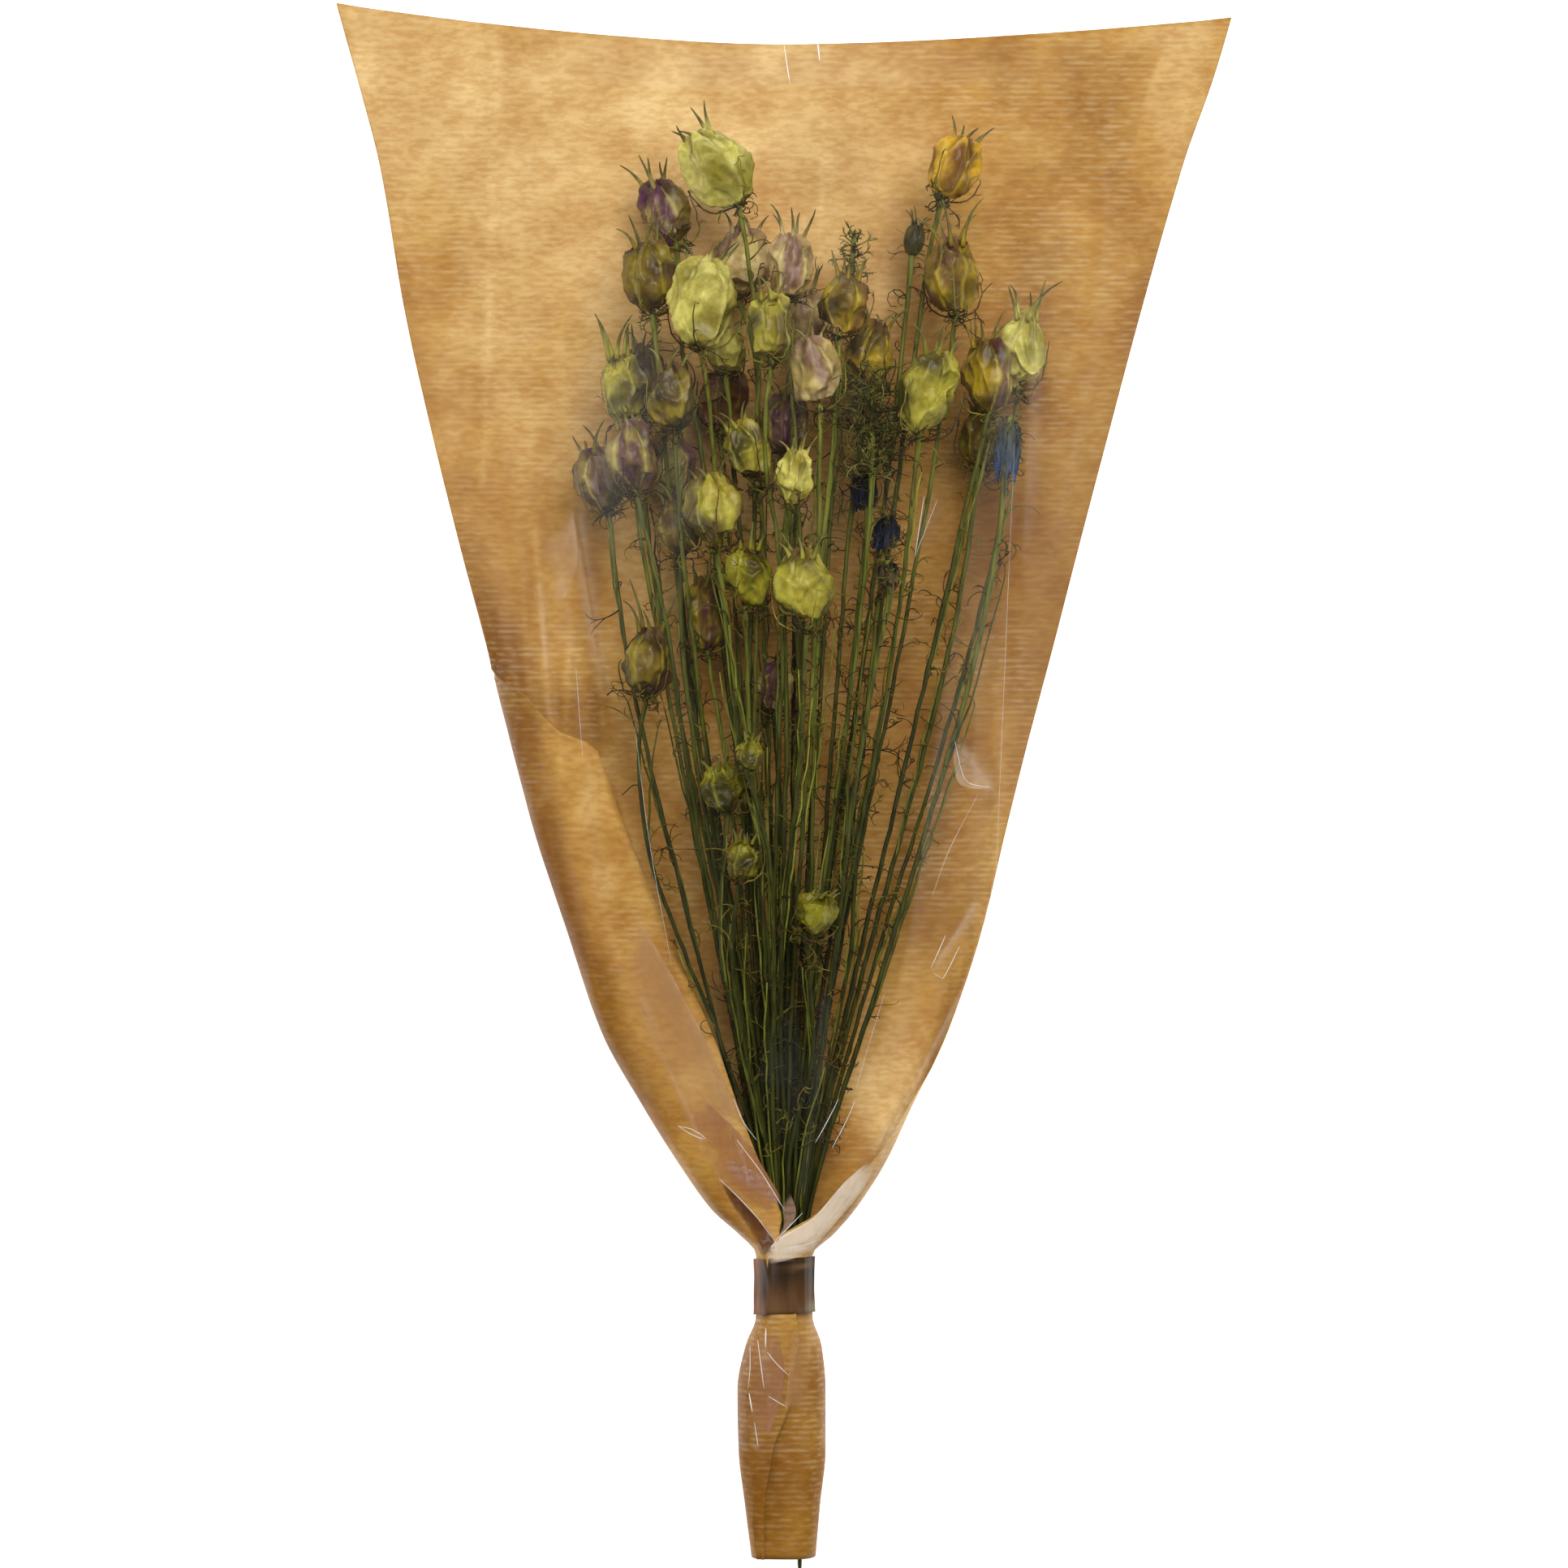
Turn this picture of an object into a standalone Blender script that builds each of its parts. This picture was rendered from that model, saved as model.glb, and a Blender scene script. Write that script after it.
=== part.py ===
"""Wrapped bunch of dried nigella seed pods, lying on its paper back.

Lengths are in millimetres and become metres when a mesh is made. +Y runs from the cut stem ends to the
mouth of the sleeve, +X is to the right of someone looking down on the clear front, and +Z is up. The
underside of the kraft paper is at Z = 0.
"""
import math
import random
from collections import namedtuple

import bmesh
import bpy
import numpy as np
from mathutils import Matrix, Vector

METRES_PER_MM = 0.001

# Kraft paper sleeve
PAPER_THICKNESS = 0.6
MOUTH_Y = 269.5
PAPER_FOOT_Y = -264.5
MOUTH_DIP = 14.0

# Clear film front, thicker than real film so that it is a sound solid
FILM_THICKNESS = 0.5
FILM_GAP = 1.2
FILM_FOOT_Y = -227.0
FILM_MOUTH_Y = 268.0

# Tape round the neck
TAPE_TOP_Y = -162.0
TAPE_FOOT_Y = -181.0
TAPE_THICKNESS = 0.4
TAPE_GAP = 0.35

# Stems
STEM_RADIUS = 0.85
NECK_STEM_RADIUS = 0.72
STEM_CLEARANCE = 0.2
NECK_Y = -158.0
FAN_EASE = 25.0
FAN_TOP_Y = 215.0
BUNDLE_Z = 8.9
BUNDLE_HALF_WIDTH = 7.2
BUNDLE_HALF_HEIGHT = 5.8
SLOT_PITCH = 1.8
STEM_FOOT_Y = -258.0
LONG_STEM_FOOT_Y = -269.5
STATION_STEP = 34.0
CAMERA_HEIGHT = 1600.0

# Pods
LOBES = 5
LOBE_DEPTH = 0.07
TIP_FACE_HEIGHT = 0.82
HORN_TIP_RADIUS = 0.45
BRACT_RADIUS = 0.5
BRACTS = 2
POD_MARGIN = 1.9
PETALS = 6
SEED = 11
BOW_SKEW = 2.2

# Points closer than this are one point once shapes are joined.
MERGE_MM = 0.002

# Where each head is seen from straight above, its middle in x and y, its height z above the table, its
# width and length, and the lean of its tip to the right in degrees.
Head = namedtuple("Head", "name kind x y z width length lean horn")
HEADS = [
    Head("nigella_01", "pod", -23, 213, 40, 23, 27, -31, 11),
    Head("nigella_02", "pod", -41, 198, 24, 18, 23, -20, 11),
    Head("nigella_03", "pod", -46, 175, 28, 18, 24, -6, 9),
    Head("nigella_04", "pod", -27, 167, 53, 24, 29, 4, 9),
    Head("nigella_05", "pod", -15, 181, 22, 21, 23, 8, 9),
    Head("nigella_06", "pod", 2, 179, 36, 17, 21, 4, 10),
    Head("nigella_07", "pod", -7, 158, 54, 17, 24, -2, 7),
    Head("nigella_08", "pod", 6, 163, 20, 17, 20, 6, 9),
    Head("nigella_09", "pod", 20, 167, 42, 18, 21, 10, 7),
    Head("nigella_10", "pod", 29, 149, 26, 17, 22, 12, 9),
    Head("nigella_11", "pod", 8, 143, 50, 19, 23, -12, 8),
    Head("nigella_12", "pod", 59, 213, 30, 18, 21, 22, 7),
    Head("nigella_13", "pod", 58, 176, 36, 19, 26, -3, 13),
    Head("nigella_14", "pod", 50, 136, 47, 21, 30, 14, 9),
    Head("nigella_15", "pod", 69, 142, 36, 18, 25, -4, 10),
    Head("nigella_16", "pod", 82, 151, 24, 17, 27, 6, 14),
    Head("nigella_17", "pod", 68, 121, 20, 16, 20, 3, 7),
    Head("nigella_18", "pod", -56, 139, 38, 17, 23, -8, 14),
    Head("nigella_19", "pod", -47, 141, 20, 16, 24, 2, 9),
    Head("nigella_20", "pod", -37, 134, 44, 17, 21, -3, 9),
    Head("nigella_21", "pod", -21, 135, 26, 17, 21, 6, 9),
    Head("nigella_22", "pod", -63, 106, 32, 18, 22, -14, 10),
    Head("nigella_23", "pod", -52, 114, 48, 18, 24, -6, 8),
    Head("nigella_24", "pod", -39, 111, 24, 17, 22, -4, 8),
    Head("nigella_25", "pod", -13, 115, 44, 16, 23, -20, 7),
    Head("nigella_26", "pod", 1, 106, 47, 13, 18, 8, 8),
    Head("nigella_27", "pod", -22, 95, 53, 20, 24, -6, 8),
    Head("nigella_28", "pod", -36, 90, 30, 16, 20, -8, 7),
    Head("nigella_29", "pod", 1, 125, 26, 16, 20, 2, 8),
    Head("nigella_30", "pod", -14, 73, 48, 16, 23, 3, 6),
    Head("nigella_31", "pod", 5, 68, 50, 20, 26, -4, 9),
    Head("nigella_32", "pod", -46, 43, 36, 18, 23, 2, 15),
    Head("nigella_33", "pod", -28, 59, 24, 15, 24, -2, 7),
    Head("nigella_34", "pod", -12, 11, 44, 10, 11, 10, 3),
    Head("nigella_35", "pod", -20, -1, 36, 15, 16, -15, 4),
    Head("nigella_36", "pod", -13, -25, 36, 13, 13, 5, 4),
    Head("nigella_37", "pod", 10, -44, 33, 16, 15, 25, 4),
    Head("nigella_38", "pod", -4, 34, 26, 13, 16, 4, 5),
    Head("nigella_39", "pod", -19, 150, 30, 14, 16, 6, 5),
    Head("dark_bud", "bud", 45, 188, 20, 7, 11, 10, 6),
    Head("blue_bloom_1", "bloom", 77, 116, 28, 9, 24, 6, 0),
    Head("blue_bloom_2", "bloom", 29, 102, 36, 9, 15, -8, 0),
    Head("blue_bloom_3", "bloom", 35, 87, 28, 9, 14, 10, 0),
    Head("dried_bloom", "bloom", 36, 72, 44, 8, 12, -5, 0),
    Head("leafy_spray", "spray", 33, 124, 38, 15, 30, 0, 0),
    Head("leafy_tip", "spray", 24, 185, 34, 7, 16, 5, 0),
    Head("thin_sprig", "bud", 23, -5, 26, 5, 7, 12, 4),
]

# Stems that swing out to the side on their way up: how far, in millimetres to the right.
STEM_BOWS = {
    "nigella_32": -10, "nigella_22": -6, "nigella_18": -4, "nigella_16": 7, "blue_bloom_1": 9,
    "nigella_17": 5, "nigella_37": 5, "nigella_36": -6, "nigella_35": -7, "thin_sprig": 8,
}

# Rows of the sleeve from mouth to foot. edge: half width seen from above. roll: radius of the turned-in
# side. turn: degrees that the side is turned. lap: flat flap past the turn. lift: height off the table.
Row = namedtuple("Row", "y left_edge right_edge left_roll right_roll left_turn right_turn "
                        "left_lap right_lap lift crown")
ROWS = [
    Row(269.5, 154.3, 154.3, 14, 14, 8, 8, 8, 8, 0, 26),
    Row(240, 146, 146, 14, 14, 9, 9, 8, 8, 0, 50),
    Row(212, 139, 137, 14, 14, 10, 10, 8, 8, 0, 63),
    Row(165, 131, 123.5, 14, 14, 12, 11, 8, 8, 0, 68),
    Row(120, 121, 111.5, 13, 13, 14, 12, 8, 8, 0, 68),
    Row(80, 111, 101, 12, 12, 18, 13, 8, 8, 0, 66),
    Row(45, 101.5, 92, 10, 12, 40, 14, 6, 8, 0, 62),
    Row(15, 94, 84, 8.5, 11, 110, 16, 4, 8, 0, 57),
    Row(-15, 86, 76.5, 8.5, 11, 170, 20, 14, 8, 0, 52),
    Row(-50, 74.5, 68, 8.5, 10, 180, 32, 21, 8, 0, 46),
    Row(-85, 62.5, 56, 8.8, 9, 180, 70, 25, 5, 0, 38),
    Row(-110, 48.5, 44, 9, 8.4, 180, 125, 20, 5, 0, 32),
    Row(-130, 36, 34.5, 9.2, 8.2, 180, 168, 14, 10, 0, 25),
    Row(-146, 24.5, 24, 9.2, 8.1, 180, 180, 8, 11, 0.3, 19.5),
    Row(-154, 15.5, 17, 9.2, 8.1, 180, 180, 3, 10, 0.8, 18),
    Row(-161, 9.6, 9.8, 9.1, 8.0, 180, 180, 3, 4, 0.8, 18),
    Row(-182, 9.6, 9.8, 9.1, 8.0, 180, 180, 5, 5, 0.8, 18),
    Row(-192, 13.2, 12.9, 9.2, 8.1, 180, 180, 9, 7, 0.2, 18),
    Row(-207, 16, 14.3, 9.3, 8.2, 180, 180, 10, 10, 0, 18),
    Row(-228, 15.6, 14.3, 9.2, 8.1, 180, 180, 6, 10, 0, 18),
    Row(-247, 13.4, 12.4, 9, 7.9, 180, 180, 3, 8, 0, 18),
    Row(-264.5, 11.2, 10.9, 8.8, 7.7, 176, 180, 2, 6, 0, 17),
]

FLAT_STEPS = 2
TURN_STEPS = 5
LAP_STEPS = 1
FILM_SLOPES = (-90, -72, -54, -36, -18, -9, -3, 3, 9, 18, 36, 48, 60, 75, 90)
TAPE_SIDES = 24
SUPPORT_SHARE = 0.6
SUPPORT_FALL = 0.28


def row_at(y):
    """The sleeve's row at a height along Y, straight between the rows listed above."""
    if y >= ROWS[0].y:
        return ROWS[0]
    for upper, lower in zip(ROWS, ROWS[1:]):
        if y >= lower.y:
            share = (upper.y - y) / (upper.y - lower.y)
            return Row(*[a + (b - a) * share for a, b in zip(upper, lower)])
    return ROWS[-1]


def side_points(edge, roll, turn, lap, lift):
    """Outer face of half the sleeve across its width, from the middle out and over: a list of (x, z)."""
    angle = math.radians(turn)
    reach = roll * math.sin(min(angle, math.pi / 2)) + lap * max(math.cos(angle), 0.0)
    start = max(edge - reach, 0.6)
    points = [(start * k / FLAT_STEPS, lift) for k in range(FLAT_STEPS + 1)]
    for k in range(1, TURN_STEPS + 1):
        a = angle * k / TURN_STEPS
        points.append((start + roll * math.sin(a), lift + roll * (1 - math.cos(a))))
    end_x, end_z = points[-1]
    for k in range(1, LAP_STEPS + 1):
        step = lap * k / LAP_STEPS
        points.append((end_x + step * math.cos(angle), end_z + step * math.sin(angle)))
    return points


def paper_section(row):
    """The whole width of the paper's outer face at a row, from the left flap to the right flap."""
    left = side_points(row.left_edge, row.left_roll, row.left_turn, row.left_lap, row.lift)
    right = side_points(row.right_edge, row.right_roll, row.right_turn, row.right_lap, row.lift)
    return [(-x, z) for x, z in reversed(left[1:])] + right


def mouth_y(x):
    """The mouth's cut edge sags towards its middle."""
    share = min(abs(x) / ROWS[0].left_edge, 1.0)
    return MOUTH_Y - MOUTH_DIP * (1 - share ** 1.6)


def film_crown(x, y):
    """Height at which the heads hold the film up: a low arch over the bunch, straight down past it."""
    row = row_at(y)
    edge = row.left_edge if x < 0 else row.right_edge
    reach = SUPPORT_SHARE * edge
    if abs(x) <= reach:
        return row.lift + row.crown * (1 - SUPPORT_FALL * (x / reach) ** 2)
    share = min((abs(x) - reach) / (edge - reach), 1.0)
    return row.lift + row.crown * (1 - SUPPORT_FALL) * (1 - share)


def drawn_tight(held, slopes, gap):
    """Points of a skin drawn tight over what it covers, one for each slope in degrees from upright."""
    points = []
    for slope in slopes:
        angle = math.radians(slope)
        out = Vector((math.sin(angle), math.cos(angle)))
        furthest = max(held, key=lambda point: point.dot(out))
        points.append(tuple(furthest + out * gap))
    return points


def free_edges(row):
    """The corners of the paper's inner face at its two free edges."""
    section = [Vector(point) for point in paper_section(row)]
    corners = []
    for end, before, hand in ((section[0], section[1], -1), (section[-1], section[-2], 1)):
        along = (end - before).normalized()
        corners.append(end + Vector((-along.y, along.x)) * hand * PAPER_THICKNESS)
    return corners


def film_section(row, gap=FILM_GAP):
    """Inner face of the film at a row: drawn tight over the heads and the paper, from left to right."""
    held = [Vector(point) for point in paper_section(row)] + free_edges(row)
    for k in range(-8, 9):
        edge = row.left_edge if k < 0 else row.right_edge
        x = SUPPORT_SHARE * edge * k / 8
        held.append(Vector((x, film_crown(x, row.y))))
    return drawn_tight(held, FILM_SLOPES, gap)


def tape_section(row):
    """Inner face of the tape: a closed ring drawn tight over the film's outer face and the paper."""
    held = [Vector(point) for point in film_section(row, FILM_GAP + FILM_THICKNESS)]
    held += [Vector(point) for point in paper_section(row)]
    slopes = [360 * k / TAPE_SIDES for k in range(TAPE_SIDES)]
    return drawn_tight(held, slopes, TAPE_GAP)


def fan_opening(y):
    """How far the fan of stems has opened at a height: 0 in the neck, 1 at the top of the bunch."""
    rise = max(y - NECK_Y, 0.0)
    span = FAN_TOP_Y - NECK_Y - FAN_EASE / 2
    if rise < FAN_EASE:
        return rise * rise / (2 * FAN_EASE) / span
    return (rise - FAN_EASE / 2) / span


def neck_slots(count):
    """Places of the stems in the neck, packed like coins, the nearest to the middle first."""
    slots = []
    row_step = SLOT_PITCH * math.sqrt(3) / 2
    for row in range(-8, 9):
        for column in range(-10, 11):
            x = (column + 0.5 * (row % 2)) * SLOT_PITCH
            z = row * row_step
            reach = (x / BUNDLE_HALF_WIDTH) ** 2 + (z / BUNDLE_HALF_HEIGHT) ** 2
            slots.append((round(reach, 6), x, z))
    slots.sort()
    return np.array([(x, BUNDLE_Z + z) for reach, x, z in slots[:count]])


def seen_place(head):
    """Middle of a head in x and z: its place as seen from straight above, drawn in for its height."""
    shrink = (CAMERA_HEIGHT - head.z) / CAMERA_HEIGHT
    return np.array([head.x * shrink, float(head.z)])


def match_slots(slots, targets):
    """Give each target the slot that keeps the stems from crossing, by swapping while a swap helps."""
    order = sorted(range(len(slots)), key=lambda i: (slots[i][0], slots[i][1]))
    wanted = sorted(range(len(targets)), key=lambda i: (targets[i][0], targets[i][1]))
    chosen = [0] * len(targets)
    for slot, target in zip(order, wanted):
        chosen[target] = slot
    swapped = True
    while swapped:
        swapped = False
        for i in range(len(chosen)):
            for j in range(i + 1, len(chosen)):
                gap = np.dot(slots[chosen[i]] - slots[chosen[j]], targets[i] - targets[j])
                if gap < -1e-6:
                    chosen[i], chosen[j] = chosen[j], chosen[i]
                    swapped = True
    return chosen


def head_shape(head):
    """Half height along Y, sideways shift per millimetre of Y, and the base below the middle."""
    lean = math.radians(head.lean)
    a = head.length / 2
    b = head.width / 2
    sine, cosine = math.sin(lean), math.cos(lean)
    half_y = math.sqrt((a * cosine) ** 2 + (b * sine) ** 2)
    shift = (a * a - b * b) * sine * cosine / half_y ** 2
    return half_y, shift, Vector((-a * sine, -a * cosine))


class Strand:
    """One stem and its head, as a chain of places at heights along Y."""

    def __init__(self, head, slot, levels, draw):
        self.head = head
        self.half_y, self.shift, base = head_shape(head)
        middle = seen_place(head)
        self.base_y = head.y * (CAMERA_HEIGHT - head.z) / CAMERA_HEIGHT + base.y
        self.middle_y = self.base_y - base.y
        self.base_shift = base.x
        stations = list(np.arange(NECK_Y, self.base_y - 0.4 * STATION_STEP, STATION_STEP))
        self.ys = np.array(stations + [self.base_y])
        foot = np.array([middle[0] + base.x, middle[1]])
        spread = (foot - slot) / fan_opening(self.base_y)
        bow = STEM_BOWS.get(head.name, 0)
        wave = draw.uniform(-2.2, 2.2)
        dip = draw.uniform(-1.2, 1.2)
        self.points = np.zeros((len(self.ys), 2))
        for k, y in enumerate(self.ys):
            along = (y - NECK_Y) / (self.base_y - NECK_Y)
            swing = math.sin(math.pi * along ** BOW_SKEW)
            ripple = math.sin(2 * math.pi * along)
            self.points[k] = slot + spread * fan_opening(y)
            self.points[k] += np.array([bow * swing + wave * ripple, dip * ripple])
        self.points[-1] = foot
        self.home = self.points.copy()
        self.weights = np.zeros((len(levels), len(self.ys)))
        self.offset = np.zeros((len(levels), 2))
        self.radius = np.zeros(len(levels))
        self.heavy = np.zeros(len(levels), bool)
        for row, y in enumerate(levels):
            self.set_level(row, y)

    def set_level(self, row, y):
        head = self.head
        top_y = self.middle_y + self.half_y + 0.8 * head.horn
        if y > top_y:
            return
        if y <= self.base_y:
            upper = max(int(np.searchsorted(self.ys, y)), 1)
            share = (y - self.ys[upper - 1]) / (self.ys[upper] - self.ys[upper - 1])
            self.weights[row, upper - 1] = 1 - share
            self.weights[row, upper] = share
        else:
            self.weights[row, -1] = 1.0
            self.offset[row, 0] = (y - self.middle_y) * self.shift - self.base_shift
        thin = min(max((y - NECK_Y) / 60, 0), 1)
        stem = NECK_STEM_RADIUS + (STEM_RADIUS - NECK_STEM_RADIUS) * thin + STEM_CLEARANCE * (0.6 + 0.4 * thin)
        self.radius[row] = stem
        away = (y - self.middle_y) / (self.half_y + POD_MARGIN)
        if abs(away) < 1:
            belly = (head.width / 2 + POD_MARGIN) * math.sqrt(1 - away * away)
            self.radius[row] = max(stem, belly)
            self.heavy[row] = True
        if y > self.middle_y + 0.7 * self.half_y:
            self.radius[row] = max(self.radius[row], 0.24 * head.width + 1.0)
            self.heavy[row] = True


def settle(strands, levels):
    """Push the strands apart until none is closer to another than their radii, and under the film."""
    count = len(strands)
    present = np.array([s.radius > 0 for s in strands])
    radius = np.array([s.radius for s in strands])
    heavy = np.array([s.heavy for s in strands])
    share = np.where(heavy, 0.25, 1.0)
    part = share[:, None, :] / (share[:, None, :] + share[None, :, :])
    need = radius[:, None, :] + radius[None, :, :]
    both = present[:, None, :] & present[None, :, :]
    both[np.arange(count), np.arange(count), :] = False
    grid = np.arange(-160, 161, 4.0)
    ceiling = np.array([[film_crown(x, y) for x in grid] for y in levels]) - 1.5
    floor = PAPER_THICKNESS + 0.4
    rounds = 420
    for step in range(rounds):
        place = np.array([s.weights @ s.points + s.offset for s in strands])
        away = place[:, None] - place[None, :]
        gap = np.sqrt((away ** 2).sum(-1)) + 1e-9
        overlap = np.where(both, np.maximum(need - gap, 0), 0)
        push = (away * (overlap * part / gap)[..., None]).sum(1)
        low = np.maximum(floor + radius - place[..., 1], 0) * present
        column = np.clip(((place[..., 0] + 160) / 4).astype(int), 0, len(grid) - 1)
        roof = ceiling[np.arange(len(levels))[None, :], column]
        high = np.maximum(place[..., 1] + radius - roof, 0) * present
        push[..., 1] += low - high
        ease = max(1 - step / (0.75 * rounds), 0)
        for i, strand in enumerate(strands):
            active = (np.abs(push[i]).sum(-1) > 1e-4).astype(float)
            total = strand.weights.T @ push[i]
            weight = np.maximum((strand.weights.T @ active), 0.6)
            move = 0.9 * total / weight[:, None]
            inner = strand.points[:-2] + strand.points[2:] - 2 * strand.points[1:-1]
            kept = strand.home[:-2] + strand.home[2:] - 2 * strand.home[1:-1]
            move[1:-1] += 0.12 * ease * (inner - kept)
            back = strand.home[-1] - strand.points[-1]
            move[-1] += ease * back * np.array([0.12, 0.01])
            move[0] = 0
            strand.points += move
    return float(overlap.max()), float(low.max()), float(high.max())


def lay_out():
    """Every stem's route from the neck to its head, with no two of them crossing."""
    draw = random.Random(SEED)
    slots = neck_slots(len(HEADS))
    targets = []
    for head in HEADS:
        half_y, shift, base = head_shape(head)
        middle = seen_place(head) + np.array([base.x, 0])
        targets.append((middle - np.array([0, BUNDLE_Z])) / fan_opening(head.y + base.y))
    chosen = match_slots(slots, targets)
    levels = np.arange(NECK_Y, 246.0, 4.0)
    strands = [Strand(head, slots[chosen[i]], levels, draw) for i, head in enumerate(HEADS)]
    left_over = settle(strands, levels)
    print("closest strands overlap their clearance by", [round(v, 2) for v in left_over])
    return strands


def new_collection(name):
    collection = bpy.data.collections.new(name)
    bpy.context.scene.collection.children.link(collection)
    return collection


def make_material(name, colour, roughness, metallic=0.0, alpha=1.0):
    material = bpy.data.materials.new(name)
    material.use_nodes = True
    shader = material.node_tree.nodes["Principled BSDF"]
    shader.inputs["Base Color"].default_value = (*colour, 1.0)
    shader.inputs["Roughness"].default_value = roughness
    shader.inputs["Metallic"].default_value = metallic
    shader.inputs["Alpha"].default_value = alpha
    return material


def make_profile():
    """A three-sided outline of radius 1 mm, swept along thin horns, bracts and leaf threads."""
    curve = bpy.data.curves.new("three_sided_profile", "CURVE")
    curve.dimensions = "2D"
    spline = curve.splines.new("POLY")
    spline.points.add(2)
    spline.use_cyclic_u = True
    for k in range(3):
        angle = math.radians(90 - 120 * k)
        corner = Vector((math.cos(angle), math.sin(angle), 0)) * METRES_PER_MM
        spline.points[k].co = (*corner, 1)
    profile = bpy.data.objects.new("three_sided_profile", curve)
    profile.hide_render = True
    profile.display_type = "WIRE"
    HELPERS.objects.link(profile)
    return profile


def sweep(name, points, radii):
    """A closed thin tube through points, with a radius in millimetres at each, as a mesh object."""
    curve = bpy.data.curves.new(name, "CURVE")
    curve.dimensions = "3D"
    curve.bevel_mode = "OBJECT"
    curve.bevel_object = PROFILE
    curve.use_fill_caps = True
    spline = curve.splines.new("POLY")
    spline.points.add(len(points) - 1)
    for target, point, radius in zip(spline.points, points, radii):
        target.co = (*(Vector(point) * METRES_PER_MM), 1)
        target.radius = radius
    tube = bpy.data.objects.new(name, curve)
    HELPERS.objects.link(tube)
    graph = bpy.context.evaluated_depsgraph_get()
    mesh = bpy.data.meshes.new_from_object(tube.evaluated_get(graph))
    bpy.data.objects.remove(tube)
    bm = bmesh.new()
    bm.from_mesh(mesh)
    bmesh.ops.remove_doubles(bm, verts=bm.verts, dist=1e-7)
    bmesh.ops.recalc_face_normals(bm, faces=bm.faces)
    bm.to_mesh(mesh)
    bm.free()
    solid = bpy.data.objects.new(name, mesh)
    HELPERS.objects.link(solid)
    return solid


def head_frame(strand):
    """Matrix in millimetres from a head's own axes, z along its length, to the bunch."""
    head = strand.head
    lean = math.radians(head.lean)
    axis = Vector((math.sin(lean), math.cos(lean), 0))
    side = Vector((math.cos(lean), -math.sin(lean), 0))
    front = axis.cross(side)
    foot_x, foot_z = strand.points[-1]
    middle = Vector((foot_x - strand.base_shift, strand.middle_y, foot_z))
    frame = Matrix((side, front, axis)).transposed().to_4x4()
    return Matrix.Translation(middle) @ frame


def capsule(name, head, frame, lobes, depth, draw):
    """An inflated egg, wider above its middle. Each lobe stands out and tapers into a horn at the tip."""
    bm = bmesh.new()
    bmesh.ops.create_uvsphere(bm, u_segments=2 * lobes, v_segments=5, radius=1.0)
    tip_faces = [f for f in bm.faces if f.calc_center_median().z > TIP_FACE_HEIGHT]
    tip_faces.sort(key=lambda f: math.atan2(f.calc_center_median().y, f.calc_center_median().x))
    for vertex in bm.verts:
        x, y, z = vertex.co
        angle = math.atan2(y, x) - math.pi / (2 * lobes)
        swell = 1 + 0.1 * z + depth * math.cos(lobes * angle) * (1 - z * z)
        vertex.co = (x * swell * head.width / 2, y * swell * head.width / 2, z * head.length / 2)
    for face in bmesh.ops.extrude_discrete_faces(bm, faces=tip_faces[::2])["faces"]:
        root = face.calc_center_median()
        lean = draw.uniform(1.2, 1.9)
        tip = Vector((root.x * lean, root.y * lean, head.length / 2 + draw.uniform(0.75, 1.0) * head.horn))
        size = HORN_TIP_RADIUS / max((v.co - root).length for v in face.verts)
        for vertex in face.verts:
            vertex.co = tip + (vertex.co - root) * size
    for vertex in bm.verts:
        vertex.co = (frame @ vertex.co) * METRES_PER_MM
    mesh = bpy.data.meshes.new(name)
    bm.to_mesh(mesh)
    bm.free()
    ball = bpy.data.objects.new(name, mesh)
    HELPERS.objects.link(ball)
    return ball


def bracts(head, frame, draw, root, down):
    """Thread-like bracts that spring from the stem and curl up round the capsule."""
    parts = []
    a = head.length / 2
    b = head.width / 2
    start = draw.uniform(0, 2 * math.pi)
    for k in range(BRACTS):
        angle = start + 2 * math.pi * k / BRACTS
        tip = draw.uniform(0.2, 0.6)
        points = [root + down * (1.6 + 1.8 * k)]
        for reach, z in [(0.8 * b + 1.0, -0.85 * a), (b + 1.35, -0.1 * a), (0.88 * b + 1.5, tip * a)]:
            points.append(frame @ Vector((reach * math.cos(angle), reach * math.sin(angle), z)))
            angle += 0.12
        parts.append(sweep("bract", points, (BRACT_RADIUS, BRACT_RADIUS, 0.42, 0.32)))
    return parts


def drooping_petals(head, frame, draw):
    """A wilted bloom: narrow petals that hang down round the top of the stem."""
    parts = []
    a = head.length / 2
    b = head.width / 2
    for k in range(PETALS):
        angle = 2 * math.pi * (k + draw.uniform(-0.2, 0.2)) / PETALS
        end = draw.uniform(0.7, 1.0)
        top = 0.8 * a - 0.9 * k
        stations = [(0.0, top), (0.95 * b, 0.3 * a - 0.4 * k), (0.75 * b, -end * a)]
        points = []
        for reach, z in stations:
            points.append(frame @ Vector((reach * math.cos(angle), reach * math.sin(angle), z)))
        parts.append(sweep("petal", points, (0.8, 1.3, 0.5)))
    return parts


def leaf_threads(head, frame, draw):
    """Feathery foliage: short curved threads that leave the stem on every side."""
    parts = []
    a = head.length / 2
    b = head.width / 2
    count = int(4 + head.length / 4)
    for k in range(count):
        angle = 2.4 * k
        foot = -a + 1.7 * a * k / count
        reach = b * draw.uniform(0.75, 1.0)
        rise = draw.uniform(2.0, 5.0)
        stations = [(0.0, foot), (0.6 * reach, foot + 0.35 * rise), (reach, foot + rise)]
        points = []
        for out, z in stations:
            points.append(frame @ Vector((out * math.cos(angle), out * math.sin(angle), z)))
            angle += 0.35
        parts.append(sweep("leaf_thread", points, (0.55, 0.5, 0.34)))
    return parts


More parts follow.
